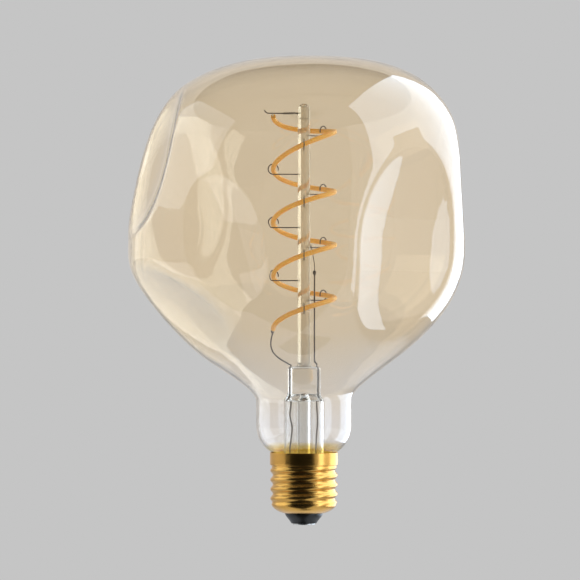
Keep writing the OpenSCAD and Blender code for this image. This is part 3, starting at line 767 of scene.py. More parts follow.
@dataclass
class BlownGlobe:
    """The large dented glass globe with its straight neck."""

    width: float = 130.8
    top: float = 181.6
    belly_z: float = 107.0
    neck_width: float = 37.0
    neck_low: float = 39.0
    neck_top: float = 48.0
    wall: float = 0.8
    seal_r: float = 12.17
    belly_lean: float = 6.6
    crown_lean: float = 2.4
    crown_powers: tuple[float, float] = (2.6, 3.5)
    sides: int = 200
    rings: int = 190
    wave_height: float = 0.25
    wave_size: float = 34.0
    dents: tuple[Dent, ...] = (
        Dent(193, 0.78, 8, 26.5, 29, 8, 10, 0.15),
        Dent(245, 0.6, -6, 16, 26, 16, 5.5, 0.15),
        Dent(204, 0.44, -30, 33, 23, -6, 9, 0.35),
        Dent(314, 0.595, -2, 26, 38, -5, 9, 0.12),
        Dent(78, 0.64, 0, 28, 42, 4, 7, 0.2),
        Dent(136, 0.7, 0, 22, 31, -12, 6, 0.25),
        Dent(6, 0.74, 4, 24, 26, 10, 2.2, 0.35),
    )

    def outline(self) -> Outline:
        """Half outline of the undented glass, from the seal in the cap to the crown.

        Returns:
            Radius and height pairs.
        """
        rim = top_z("cap_shell")
        seal_z = low_z("glass_envelope")
        belly_r, neck_r = self.width / 2, self.neck_width / 2
        shoulder = bezier((self.seal_r, rim - 0.6), (self.seal_r, rim + 0.4), (neck_r, rim + 2),
                          (neck_r, self.neck_low), 24)
        funnel = bezier((neck_r, self.neck_top), (neck_r, self.neck_top + 10), (belly_r, self.belly_z - 35),
                        (belly_r, self.belly_z), 120)
        crown = []
        steps = 240
        rise = self.top - self.belly_z
        for i in range(1, steps + 1):
            a = math.pi / 2 * i / steps
            r = belly_r * max(0.0, math.cos(a)) ** (2 / self.crown_powers[0]) if i < steps else 0.0
            crown.append((r, self.belly_z + rise * math.sin(a) ** (2 / self.crown_powers[1])))
        even = even_outline([(self.seal_r, seal_z), *shoulder, *funnel, *crown], self.rings)
        even[-1] = (0.0, even[-1][1])
        return even

    def lean(self, z: float) -> float:
        """Shift of the glass along X at a height."""
        t = max(0.0, (z - self.neck_top) / (self.top - self.neck_top))
        return self.crown_lean * t * t - 2 * self.belly_lean * t * (1 - t)

    def dent_rule(self) -> NodeTree:
        """The rule that pushes a point inwards by one dent.

        Returns:
            A tree that gives the push as a vector.
        """
        vector = (0.0, 0.0, 0.0)
        t = GeometryTree("dent push", {"Centre": vector, "Facing": vector, "Side": vector, "Rise": vector,
                                       "Depth": 0.01, "Softness": 0.2, "Far Side": -0.03}, gives="Vector")
        away = t.vector("SUBTRACT", t.put("GeometryNodeInputPosition").outputs[0], t["Centre"])
        u, v = (t.vector("DOT_PRODUCT", away, t[way]) for way in ("Side", "Rise"))
        inside = 1.0 - (u * u + v * v)
        soft = t["Softness"]
        bend = t.math("MINIMUM", t.math("MAXIMUM", inside + soft, 0.0), soft * 2.0)
        pressed = bend * bend / (soft * 4.0) + t.math("MAXIMUM", inside - soft, 0.0)
        near = t.math("GREATER_THAN", t.vector("DOT_PRODUCT", away, t["Facing"]), t["Far Side"])
        push = pressed * near * (t["Depth"] * -1.0)
        t.fill(t.result.inputs[0], t.vector("SCALE", t["Facing"], push))
        return t.tree

    def dent_inputs(self, dent: Dent, outline: Outline) -> dict[str, Any]:
        """Centre, directions and sizes of one dent, in metres.

        Args:
            dent: The dent.
            outline: The undented outline.

        Returns:
            A value for each input of the dent rule.
        """
        z = dent.height * self.top
        radii, heights = zip(*outline)
        r = float(np.interp(z, heights, radii))
        azimuth, elevation, tilt = (math.radians(a) for a in (dent.azimuth, dent.elevation, dent.tilt))
        facing = Vector((math.cos(azimuth) * math.cos(elevation), math.sin(azimuth) * math.cos(elevation),
                         math.sin(elevation)))
        across = Vector((-math.sin(azimuth), math.cos(azimuth), 0))
        up = facing.cross(across)
        side = across * math.cos(tilt) + up * math.sin(tilt)
        rise = up * math.cos(tilt) - across * math.sin(tilt)
        centre = Vector((self.lean(z) + r * math.cos(azimuth), r * math.sin(azimuth), z))
        return {"Centre": centre * MM, "Facing": facing, "Side": side / (dent.half_width * MM),
                "Rise": rise / (dent.half_height * MM), "Depth": dent.depth * MM, "Softness": dent.softness,
                "Far Side": -self.width / 4 * MM}

    def shape_tree(self, outline: Outline) -> NodeTree:
        """The rule of the whole globe: it leans, each dent is pressed in, and the skin waves.

        Args:
            outline: The undented outline.

        Returns:
            The tree, which starts from the turned outline.
        """
        t = GeometryTree("blown globe", {"Neck Top": 0.048, "Globe Top": 0.18, "Belly Lean": 0.0,
                                         "Crown Lean": 0.0, "Wave Height": 0.0002, "Wave Size": 0.03})
        height = t.parts(t.put("GeometryNodeInputPosition").outputs[0])[2]
        share = (height - t["Neck Top"]) / (t["Globe Top"] - t["Neck Top"])
        share = t.math("MAXIMUM", share, 0.0)
        back, out = share * share * t["Crown Lean"], share * (1.0 - share) * t["Belly Lean"]
        leaning = t.moved(t["Geometry"], Offset=t.joined(back - out * 2.0, 0.0, 0.0))
        rule = self.dent_rule()
        pushes: Any = (0.0, 0.0, 0.0)
        for dent in self.dents:
            push = t.put("GeometryNodeGroup", node_tree=rule)
            for key, value in self.dent_inputs(dent, outline).items():
                push.inputs[key].default_value = value
            pushes = t.vector("ADD", push.outputs[0], pushes)
        dented = t.moved(leaning, Offset=pushes)
        noise = t.put("ShaderNodeTexNoise", {"Scale": 1.0 / t["Wave Size"], "Detail": 1.0})
        wave = t.math("SUBTRACT", noise.outputs["Fac"], 0.5) * t["Wave Height"]
        free = t.math("MULTIPLY", share, 4.0, clamp=True)
        normal = t.put("GeometryNodeInputNormal").outputs[0]
        return t.end(t.moved(dented, Offset=t.vector("SCALE", normal, wave * free)))

    def build(self) -> None:
        """Turns, dents and thickens the glass."""
        outline = self.outline()
        points, faces = lathe(outline, self.sides)
        base = plain_mesh("globe_outline", points, faces)
        globe = grown("blown_globe", self.shape_tree(outline), base, AMBER_GLASS.material(),
                      Neck_Top=self.neck_top * MM, Globe_Top=self.top * MM, Belly_Lean=self.belly_lean * MM,
                      Crown_Lean=self.crown_lean * MM, Wave_Height=self.wave_height * MM,
                      Wave_Size=self.wave_size * MM)
        thicken(globe, self.wall)
        seat(globe, "amber_glass", "glass_envelope")


# ---------------------------------------------------------------- glass stem


@dataclass
class GlassStem:
    """The flared tube, pinched press, pump tube and support rod, fused one on another."""

    flare_width: float = 15.5
    wall: float = 0.8
    rim_r: float = 11.3
    bend_height: float = 8.0
    press_width: float = 13.0
    press_thick: float = 6.38
    pinch_height: float = 3.2
    press_dome: float = 1.2
    dome_inset: float = 0.16
    bore_rise: float = 1.6
    pump_width: float = 5.4
    rod_top_width: float = 4.8
    rod_foot_width: float = 5.3
    rod_sink: float = 0.05
    melt_height: float = 2.0
    melt_share: float = 0.94
    melt_flare: float = 0.9
    melt_power: float = 2.2
    sides: int = 96
    glass: Material = field(default_factory=CLEAR_GLASS.material)
    rod_glass: Material = field(default_factory=CREAM_GLASS.material)

    def flare(self) -> None:
        """The tube that spreads at its foot to meet the neck."""
        low, top = low_z("stem_flare_tube"), top_z("stem_flare_tube")
        bends = []
        for depth in (0.0, self.wall):
            r, z = self.flare_width / 2 - depth, low + self.wall - depth
            bend_z = low + self.bend_height
            bends.append(bezier((r, bend_z), (r, bend_z - 5), (self.rim_r - 2, z), (self.rim_r, z), 20))
        outer, inner = bends
        outline = [(self.flare_width / 2, top), *outer, *inner[::-1], (self.flare_width / 2 - self.wall, top)]
        flare = turned("flare_tube", outline, self.sides, self.glass, loop=True)
        seat(flare, "clear_glass", "stem_flare_tube")

    def press_rings(self) -> list[np.ndarray]:
        """Rings of the press from its round foot to its flat, softened top.

        Returns:
            The rings, each with the same number of points.
        """
        low, top = low_z("stem_press"), top_z("stem_press")
        pinch_z, dome_z = low + self.pinch_height, top - self.press_dome
        heights = [low + (pinch_z - low) * i / 12 for i in range(13)]
        heights += [pinch_z + (dome_z - pinch_z) * i / 8 for i in range(1, 9)]
        rings = []
        for z in heights:
            s = min(1.0, (z - low) / (pinch_z - low))
            rings.append(self.press_ring(s * s * (3 - 2 * s), 1.0, z))
        for a in (math.pi / 2 * i / 7 for i in range(1, 8)):
            share = 1 - self.dome_inset * (1 - math.cos(a))
            rings.append(self.press_ring(1.0, share, dome_z + self.press_dome * math.sin(a)))
        return rings

    def press_ring(self, pinch: float, share: float, z: float) -> np.ndarray:
        """One ring of the press.

        Args:
            pinch: 0 for the round foot, 1 for the flat press.
            share: Share of the full width.
            z: Height of the ring.

        Returns:
            The ring's points.
        """
        half_w = self.flare_width / 2 + (self.press_width / 2 - self.flare_width / 2) * pinch
        half_t = self.flare_width / 2 + (self.press_thick / 2 - self.flare_width / 2) * pinch
        power = 2 / (2 + 0.5 * pinch)
        angles = round_angles(self.sides)
        c, s = np.cos(angles), np.sin(angles)
        x = half_w * share * np.sign(c) * np.abs(c) ** power
        y = (half_t - (1 - share) * self.press_thick) * np.sign(s) * np.abs(s) ** power
        return np.stack([x, y, np.full_like(x, z)], axis=1)

    def press(self) -> None:
        """The flat glass foot, with the dome of the pump tube's bore inside it."""
        bore_r = self.pump_width / 2 - self.wall
        low = low_z("stem_press")
        bore_z = low + self.bore_rise
        bore = [(bore_r, low), (bore_r, bore_z)]
        bore += [(bore_r * math.cos(a), bore_z + bore_r * math.sin(a)) for a in np.linspace(0.15, 1.45, 8)]
        angles = round_angles(self.sides)
        inner = [np.stack([r * np.cos(angles), r * np.sin(angles), np.full_like(angles, z)], axis=1)
                 for r, z in bore]
        rings = inner[::-1] + self.press_rings()
        points = [tuple(p) for ring in rings for p in ring]
        faces = grid_faces(len(rings), self.sides, closed=True)
        faces += [tuple(range(self.sides)), tuple(range(len(points) - self.sides, len(points)))]
        mesh = plain_mesh("pinched_press", points, faces)
        seat(piece_of("pinched_press", mesh, self.glass), "clear_glass", "stem_press")

    def pump_tube(self) -> None:
        """The thin tube down the middle, sealed to a round tip."""
        low, top = low_z("exhaust_tube"), low_z("stem_press") - BOND_GAP
        r, bore_r = self.pump_width / 2, self.pump_width / 2 - self.wall
        tip_z = low + r
        tip = [(r * math.sin(a), tip_z - r * math.cos(a)) for a in np.linspace(0, math.pi / 2, 14)]
        bore = [(bore_r * math.sin(a), tip_z - bore_r * math.cos(a)) for a in np.linspace(math.pi / 2, 0, 14)]
        bore[-1] = (0.0, bore[-1][1])
        outline = [*tip, (r, top), (bore_r, top), *bore]
        seat(turned("pump_tube", outline, 48, self.glass), "clear_glass", "exhaust_tube")

    def rod(self) -> None:
        """The solid rod that carries the coil, melted out where it stands on the press."""
        foot, top = top_z("stem_press") - self.rod_sink, top_z("support_rod")
        foot_r, top_r = self.rod_foot_width / 2, self.rod_top_width / 2
        melt = [(foot_r * self.melt_share + self.melt_flare * (1 - i / 6) ** self.melt_power,
                 foot + self.melt_height * i / 6) for i in range(7)]
        dome = [(top_r * math.cos(a), top - top_r + top_r * math.sin(a))
                for a in np.linspace(0, math.pi / 2, 12)]
        dome[-1] = (0.0, top)
        body = [(melt[-1][0] + (top_r - melt[-1][0]) * s, melt[-1][1] + (top - top_r - melt[-1][1]) * s)
                for s in np.linspace(0.02, 0.98, 40)]
        outline = [(0.0, foot), *melt, *body, *dome]
        seat(turned("glass_rod", outline, 64, self.rod_glass), "clear_glass", "support_rod")

    def build(self) -> None:
        """Makes the four glass pieces of the stem."""
        self.flare()
        self.press()
        self.pump_tube()
        self.rod()


# ---------------------------------------------------------------- filament


@dataclass
class FilamentCoil:
    """The flexible filament, wound in a loose coil round the rod."""

    radius: float = 11.9
    turns: int = 4
    strip_width: float = 1.9
    drop: float = 5.0
    low: float = 75.9
    tilt: float = 0.8
    nod: float = 2.0
    first_lift: float = 2.6
    steps_per_turn: int = 80

    @property
    def top(self) -> float:
        """Height of the coil's upper end."""
        return top_z("support_rod") - self.drop

    @property
    def pitch(self) -> float:
        """Fall of the coil in one turn."""
        return (self.top - self.low) / self.turns

    def azimuth(self, turn: float) -> float:
        """Direction from the axis after some turns, in radians."""
        return math.pi - 2 * math.pi * turn

    def point(self, turn: float) -> np.ndarray:
        """A point of the coil's centre line.

        Args:
            turn: How many turns down from the upper end.

        Returns:
            The point.
        """
        a = self.azimuth(turn)
        first = self.first_lift * math.sin(math.pi * turn) ** 2 if turn < 1 else 0.0
        z = self.top - self.pitch * turn + self.tilt * (math.cos(a) + 1) - self.nod * math.sin(a) + first
        return np.array([self.radius * math.cos(a), self.radius * math.sin(a), z])

    def shape_tree(self) -> NodeTree:
        """The rule of the coil: half a round coat carried down the winding.

        Returns:
            The tree. Its base mesh isn't used.
        """
        t = GeometryTree("filament coil", {"Radius": 0.01, "Top": 0.1, "Pitch": 0.02, "Tilt": 0.0, "Nod": 0.0,
                                           "First Lift": 0.0, "Coat Radius": 0.001, "Coat Start": 0.0})
        count = self.turns * self.steps_per_turn + 1
        line = t.put("GeometryNodeMeshLine", {"Count": count}).outputs[0]
        turn = t.math("DIVIDE", t.put("GeometryNodeInputIndex").outputs[0], float(self.steps_per_turn))
        azimuth = math.pi - turn * (2 * math.pi)
        cos, sin = t.math("COSINE", azimuth), t.math("SINE", azimuth)
        rise = t.math("SINE", turn * math.pi)
        first = t.math("LESS_THAN", turn, 1.0) * (rise * rise)
        z = t["Top"] - turn * t["Pitch"] + t["Tilt"] * (cos + 1.0) - t["Nod"] * sin + t["First Lift"] * first
        place = t.joined(cos * t["Radius"], sin * t["Radius"], z)
        wound = t.put("GeometryNodeMeshToCurve", {"Mesh": t.moved(line, Position=place)}).outputs[0]
        level = t.put("GeometryNodeSetCurveNormal", {"Curve": wound}, mode="Z_UP").outputs[0]
        length = t.put("GeometryNodeSplineParameter").outputs["Length"]
        mark = {"Geometry": level, "Name": "along", "Value": length}
        marked = t.put("GeometryNodeStoreNamedAttribute", mark, data_type="FLOAT", domain="POINT").outputs[0]
        sector = {"Resolution": 13, "Radius": t["Coat Radius"], "Start Angle": t["Coat Start"],
                  "Sweep Angle": math.pi}
        arc = t.put("GeometryNodeCurveArc", sector).outputs[0]
        half = t.put("GeometryNodeSetSplineCyclic", {0: arc, "Cyclic": True}).outputs[0]
        return t.end(t.swept(marked, half))

    def coat(self, side: CoatSide, tree: NodeTree, finish: Material) -> None:
        """One half of the coat.

        Args:
            side: Which half.
            tree: The coil's rule.
            finish: The silicone.
        """
        start = math.pi / 2 * side.value
        name = side.name.lower()
        base = bpy.data.meshes.new(name + "_coat_base")
        coat = grown(name + "_coat", tree, base, finish, Radius=self.radius * MM, Top=self.top * MM,
                     Pitch=self.pitch * MM, Tilt=self.tilt * MM, Nod=self.nod * MM,
                     First_Lift=self.first_lift * MM, Coat_Radius=self.strip_width / 2 * MM,
                     Coat_Start=start)
        seat(coat, "phosphor", f"filament_{name}_coat")

    def build(self) -> None:
        """Winds both halves of the coat."""
        tree, silicone = self.shape_tree(), PHOSPHOR.material()
        for side in CoatSide:
            self.coat(side, tree, silicone)


# ---------------------------------------------------------------- hooks and leads


@dataclass
class WireWork:
    """The hooks in the rod, the arm at its top, the two leads, the riser and their welds."""

    coil: FilamentCoil
    hook_width: float = 0.44
    loop_width: float = 4.4
    hook_root: float = 1.0
    hook_shares: tuple[float, ...] = (0.36, 0.75, 1.0)
    hook_sweep: float = 285.0
    arm_reach: float = 2.0
    arm_curl: float = 1.4
    arm_sweep: float = 80.0
    lead_width: float = 0.6
    lead_x: float = 5.0
    riser_x: float = 4.1
    riser_back_r: float = 2.95
    riser_turn_deg: float = 39.0
    riser_climb: float = 10.0
    riser_straight: float = 3.0
    riser_bend_deg: tuple[int, int] = (60, 140)
    riser_bend_drop: float = 3.0
    riser_bend_climb: float = 2.6
    riser_width: float = 0.3
    riser_weld_z: float = 97.6
    bead_r: float = 0.75
    bead_squash: tuple[float, float] = (1.15, 1.3)
    tab_length: float = 1.8
    wrap_turns: int = 5
    wrap_pitch: float = 0.9
    wrap_gap: float = 1.2
    curl_steps: int = 56

    def curl_tree(self, name: str) -> NodeTree:
        """The rule of a straight wire that curls up at its end, set round the rod at each base point.

        Args:
            name: Name of the tree.

        Returns:
            The tree. Each base point holds its azimuth in an attribute.
        """
        t = GeometryTree(name, {"Root": 0.001, "Reach": 0.01, "Curl Radius": 0.002, "Sweep": 1.0,
                                "Wire Radius": 0.0002})
        root, curl = t["Root"], t["Curl Radius"]
        line = t.put("GeometryNodeMeshLine", {"Count": self.curl_steps + 1}).outputs[0]
        share = t.math("DIVIDE", t.put("GeometryNodeInputIndex").outputs[0], float(self.curl_steps))
        straight = t["Reach"] - root
        run = share * (straight + curl * t["Sweep"])
        angle = t.math("MAXIMUM", run - straight, 0.0) / curl
        x = root + t.math("MINIMUM", run, straight) + curl * t.math("SINE", angle)
        z = curl * (1.0 - t.math("COSINE", angle))
        shaped = t.moved(line, Position=t.joined(x, 0.0, z))
        wire = t.put("GeometryNodeMeshToCurve", {"Mesh": shaped}).outputs[0]
        skin = t.swept(wire, t.round_outline(t["Wire Radius"], 10))
        azimuth = t.put("GeometryNodeInputNamedAttribute", {"Name": "azimuth"}, data_type="FLOAT").outputs[0]
        copies = {"Points": t["Geometry"], "Instance": skin, "Rotation": t.joined(0.0, 0.0, azimuth)}
        return t.end(t.put("GeometryNodeInstanceOnPoints", copies).outputs[0])

    def curled(self, name: str, node: str, places: Sequence[tuple[float, float]], reach: float, curl_r: float,
               sweep: float, finish: Material) -> None:
        """Curled wires set in the rod.

        Args:
            name: Name of the piece.
            node: The node that it stands for.
            places: Azimuth in radians and height of each wire.
            reach: Distance from the axis to where the curl begins.
            curl_r: Radius of the curl.
            sweep: Angle of the curl, in degrees.
            finish: The wire's material.
        """
        base = plain_mesh(name + "_places", [(0, 0, z) for _, z in places], [])
        base.attributes.new("azimuth", "FLOAT", "POINT").data.foreach_set("value", [a for a, _ in places])
        wires = grown(name, self.curl_tree(name), base, finish, Root=self.hook_root * MM, Reach=reach * MM,
                      Curl_Radius=curl_r * MM, Sweep=math.radians(sweep),
                      Wire_Radius=self.hook_width / 2 * MM)
        seat(wires, "hook_wire", node)

    def sweep_tree(self) -> NodeTree:
        """The rule of a round wire along a path.

        Returns:
            The tree, whose base mesh is the path.
        """
        t = GeometryTree("wire along a path", {"Wire Radius": 0.0003})
        path = t.put("GeometryNodeMeshToCurve", {"Mesh": t["Geometry"]}).outputs[0]
        return t.end(t.swept(path, t.round_outline(t["Wire Radius"], 12)))

    def wire(self, name: str, node: str, path: Sequence[Point], width: float, tree: NodeTree,
             finish: Material) -> None:
        """One wire of a width along a path."""
        base = plain_mesh(name + "_path", path, [], [(i, i + 1) for i in range(len(path) - 1)])
        seat(grown(name, tree, base, finish, Wire_Radius=width / 2 * MM), "lead_wire", node)

    def arm_place(self) -> tuple[float, float]:
        """Where the arm leaves the rod's top.

        Returns:
            Its azimuth in radians and its height.
        """
        half_tab = math.degrees(self.tab_length / 2 / self.coil.radius)
        low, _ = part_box("top_arm")
        return math.radians(180 + half_tab), low.z / MM + self.hook_width / 2

    def short_path(self, weld: np.ndarray) -> list[np.ndarray]:
        """Path of the short lead, from its weld round and down through the press.

        Args:
            weld: Centre of the weld at the filament's lower end.

        Returns:
            The points of the path.
        """
        top, foot, board = top_z("stem_press"), top_z("stem_flare_tube"), top_z("driver_board")
        start = weld - np.array([0, 0, self.bead_r])
        bow = bezier(start, start + np.array([-2.6, 0, -8]), (-self.lead_x - 4.4, 0, top + 3.2),
                     (-self.lead_x, 0, top + 0.4), 12)
        fall = foot - 1 - board - 6
        wavy = [(-self.lead_x - 0.5 * math.sin(math.radians(i * 120)), 0, foot - 1 - i * fall / 6)
                for i in range(1, 7)]
        ends = [(-self.lead_x, 0, top - 1), (-self.lead_x, 0, foot - 1), *wavy,
                (-self.lead_x, 0, board + 2.5), (-self.lead_x, 0, board)]
        return rounded_path([*bow, *ends], 4)

    def long_path(self) -> list[np.ndarray]:
        """Path of the long lead, from its weld beside the rod down through the press.

        Returns:
            The points of the path.
        """
        top, foot, board = top_z("stem_press"), top_z("stem_flare_tube"), top_z("driver_board")
        x, riser = self.lead_x, self.riser_x
        points = [(riser, 0, self.riser_weld_z - self.bead_r), (riser, 0, top + 20), (riser, 0, top + 3),
                  (riser + 0.2, 0, top + 2), (x, 0, top + 0.6), (x, 0, top - 1), (x, 0, foot - 1),
                  (x + 0.3, 0, foot - 8), (x - 0.2, 0, foot - 15), (x - 0.6, -0.6, board + 10),
                  (x - 1.2, -2, board + 7), (x - 1.4, -3, board + 4), (x - 1.4, -3, board)]
        return rounded_path(points, 4)

    def riser_path(self) -> list[np.ndarray]:
        """Path of the thin riser, up close to the rod, round behind its top and onto the arm.

        Returns:
            The points of the path.
        """
        azimuth, z = self.arm_place()
        x, near = self.riser_x, self.riser_back_r
        foot = self.riser_weld_z + self.riser_straight
        stations = [(x, 0, self.riser_weld_z + self.bead_r), (x, 0, foot)]
        for share in (i / 5 for i in range(1, 6)):
            stations.append((x + (near - x) * share, self.riser_turn_deg * share,
                             foot + self.riser_climb * share))
        stations.append((near, self.riser_turn_deg, z - 4))
        low, high = self.riser_bend_deg
        for a in range(low, high + 1, 20):
            climb = self.riser_bend_climb * (a - low) / (high - low)
            stations.append((near, a, z - self.riser_bend_drop + climb))
        path = [(r * math.cos(math.radians(a)), r * math.sin(math.radians(a)), up) for r, a, up in stations]
        wrap_r = self.hook_width / 2 + self.riser_width / 2 + BOND_GAP
        wrap_x = GlassStem.rod_top_width / 2 + self.wrap_gap
        turn = azimuth - math.pi
        cos, sin = math.cos(turn), math.sin(turn)
        per_turn = 10
        for i in range(self.wrap_turns * per_turn + 1):
            a = math.radians(i * 360 / per_turn)
            wx, wy = -wrap_x - self.wrap_pitch * i / per_turn, wrap_r * math.cos(a)
            path.append((wx * cos - wy * sin, wx * sin + wy * cos, z + wrap_r * math.sin(a)))
        return rounded_path(path, 3)

    def welds(self, weld: np.ndarray, finish: Material) -> None:
        """The two melted beads that join the leads.

        Args:
            weld: Centre of the bead at the filament's lower end.
            finish: Their material.
        """
        points: list[tuple] = []
        faces: Faces = []
        centres = (weld, np.array([self.riser_x, 0, self.riser_weld_z]))
        for centre, squash in zip(centres, self.bead_squash):
            arc = np.linspace(-math.pi / 2, math.pi / 2, 15)
            outline = [(self.bead_r * 0.92 * math.cos(a) * (1 + 0.1 * math.sin(3 * a)),
                        self.bead_r * squash * math.sin(a)) for a in arc]
            outline[0], outline[-1] = (0.0, outline[0][1]), (0.0, outline[-1][1])
            ball, ball_faces = lathe(outline, 20)
            faces += [tuple(i + len(points) for i in face) for face in ball_faces]
            points += [tuple(p + centre) for p in ball]
        beads = piece_of("lead_welds", plain_mesh("lead_welds", points, faces), finish)
        seat(beads, "lead_wire", "weld_beads")

    def build(self) -> None:
        """Makes every wire."""
        hook, lead = HOOK_WIRE.material(), LEAD_WIRE.material()
        loop_r = (self.loop_width - self.hook_width) / 2
        last = self.coil.turns - 0.01
        turns = [t + s for t in range(self.coil.turns) for s in self.hook_shares if t + s < last]
        places = [(self.coil.azimuth(t), self.coil.point(t)[2] - loop_r) for t in turns]
        self.curled("filament_hooks", "support_hooks", places, self.coil.radius, loop_r, self.hook_sweep,
                    hook)
        self.curled("hanging_arm", "top_arm", [self.arm_place()], self.coil.radius + self.arm_reach,
                    self.arm_curl, self.arm_sweep, hook)
        end = self.coil.point(self.coil.turns)
        before = self.coil.point(self.coil.turns - 0.04)
        forward = (end - before) / np.linalg.norm(end - before)
        weld = end + forward * (self.tab_length + self.bead_r + 2 * BOND_GAP)
        tree = self.sweep_tree()
        self.wire("short_lead_wire", "short_lead", self.short_path(weld), self.lead_width, tree, lead)
        self.wire("long_lead_wire", "long_lead", self.long_path(), self.lead_width, tree, lead)
        self.wire("riser", "riser_wire", self.riser_path(), self.riser_width, tree, lead)
        self.welds(weld, lead)


# ---------------------------------------------------------------- screw cap


@dataclass
class ScrewCap:
    """The rolled brass cap, its black insulator and the centre contact."""

    collar_width: float = 26.4
    collar_height: float = 5.0
    crest_width: float = 26.2
    thread_depth: float = 1.0
    thread_pitch: float = 3.629
    thread_start: float = -50.0
    run_out: float = 1.4
    cone_height: float = 3.4
    step_height: float = 0.6
    rim_round: float = 0.3
    sheet: float = 0.35
    lip_width: float = 15.0
    lip_round: float = 3.2
    thread_clear: float = 0.1
    insulator_width: float = 9.9
    insulator_round: float = 0.4
    insulator_bevel: tuple[float, float] = (1.0, 0.6)
    contact_width: float = 8.6
    contact_proud: float = 0.5
    contact_round: float = 0.35
    contact_hole_r: float = 0.7
    contact_dish: tuple[Point, ...] = ((1.15, 0.16), (1.7, 0.03), (2.3, 0.0))
    solder_drop: tuple[Point, ...] = ((0.0, 0.0), (0.5, 0.03), (0.9, 0.14), (1.08, 0.32), (0.64, 0.5),
                                      (0.62, 2.9), (0.0, 2.9))
    sides: int = 160

    @property
    def lip_z(self) -> float:
        """Height of the brass cap's lower edge."""
        return low_z("cap_shell")

    @property
    def collar_z(self) -> float:
        """Height at which the plain collar begins."""
        return top_z("cap_shell") - self.collar_height

    def thread_tree(self) -> NodeTree:
        """The rule of the rolled thread on a turned wall.

        Returns:
            The tree, whose base is the turned wall.
        """
        t = GeometryTree("rolled thread", {"Low": 0.0, "High": 0.01, "Pitch": 0.003, "Depth": 0.001,
                                           "Start": 0.0, "Run Out": 0.001})
        x, y, z = t.parts(t.put("GeometryNodeInputPosition").outputs[0])
        above, below = z - t["Low"], t["High"] - z
        phase = t.math("ARCTAN2", y, x) - t["Start"] - above / t["Pitch"] * (2 * math.pi)
        run = t.math("DIVIDE", t.math("MINIMUM", above, below), t["Run Out"], clamp=True)
        outward = t.vector("NORMALIZE", t.joined(x, y, 0.0))
        push = t.vector("SCALE", outward, t["Depth"] * 0.5 * run * t.math("COSINE", phase))
        return t.end(t.moved(t["Geometry"], Offset=push))

    def shell(self) -> None:
        """The brass shell: cone, thread, a small step and the plain collar with its turned-in rim."""
        mean_r = self.crest_width / 2 - self.thread_depth / 2
        collar_r, rim = self.collar_width / 2, top_z("cap_shell")
        cone_z = self.lip_z + self.cone_height
        high, step, rounded = self.collar_z - self.thread_clear, self.step_height, self.rim_round
        cone = bezier((self.lip_width / 2, self.lip_z), (mean_r - self.lip_round, self.lip_z + 0.25),
                      (mean_r - 0.4, cone_z - 1.6), (mean_r, cone_z), 16)
        wall = [(mean_r, cone_z + (high - cone_z) * i / 96) for i in range(1, 97)]
        ledge = bezier((mean_r, high), (mean_r, high + 0.3), (collar_r, high - 0.1),
                       (collar_r, high + step), 8)
        collar = [(collar_r, high + step + (rim - rounded - high - step) * i / 8) for i in range(1, 9)]
        lip = bezier((collar_r, rim - rounded), (collar_r, rim), (collar_r - 0.05, rim),
                     (collar_r - rounded, rim), 5)
        points, faces = lathe([*cone, *wall, *ledge[1:], *collar, *lip[1:]], self.sides)
        base = plain_mesh("cap_outline", points, faces)
        cap = grown("threaded_cap", self.thread_tree(), base, CAP_BRASS.material(), Low=cone_z * MM,
                    High=high * MM, Pitch=self.thread_pitch * MM, Depth=self.thread_depth * MM,
                    Start=math.radians(self.thread_start), Run_Out=self.run_out * MM)
        thicken(cap, self.sheet)
        seat(cap, "cap_brass", "cap_shell")

    def insulator(self) -> None:
        """The black glass cone under the brass, with softened edges."""
        r, lip_r, top = self.insulator_width / 2, self.lip_width / 2 - BOND_GAP, top_z("cap_insulator")
        face_z, (bevel_r, bevel_z) = self.contact_proud, self.insulator_bevel
        flank = bezier((r, face_z + 0.15), (r + 0.8, face_z + 1.6), (lip_r - 0.4, self.lip_z - 1.4),
                       (lip_r, self.lip_z), 16)
        outline = [(0.0, face_z), (r - self.insulator_round, face_z), (r - 0.1, face_z + 0.04), *flank,
                   (lip_r, top - bevel_z), (lip_r - bevel_r, top), (0.0, top)]
        cone = turned("insulator_cone", outline, self.sides, BLACK_GLASS.material())
        seat(cone, "black_glass", "cap_insulator")

    def contact(self) -> None:
        """The tinned contact disc with a soft edge, and the drop of solder in its middle."""
        tin = SOLDER.material()
        r, t = self.contact_width / 2, self.contact_proud - BOND_GAP
        soft, hole_r = self.contact_round, self.contact_hole_r
        edge = [(r - soft + soft * math.sin(a), soft * (1 - math.cos(a)))
                for a in np.linspace(0, math.pi / 2, 8)]
        disc = [*self.contact_dish, *edge, (r, t), (hole_r, t), (hole_r, 0.3)]
        seat(turned("contact_disc", disc, 96, tin, loop=True), "cap_brass", "centre_contact")
        seat(turned("contact_drop", self.solder_drop, 48, tin), "solder", "contact_solder")

    def build(self) -> None:
        """Makes the cap's pieces."""
        self.shell()
        self.insulator()
        self.contact()


# ---------------------------------------------------------------- driver


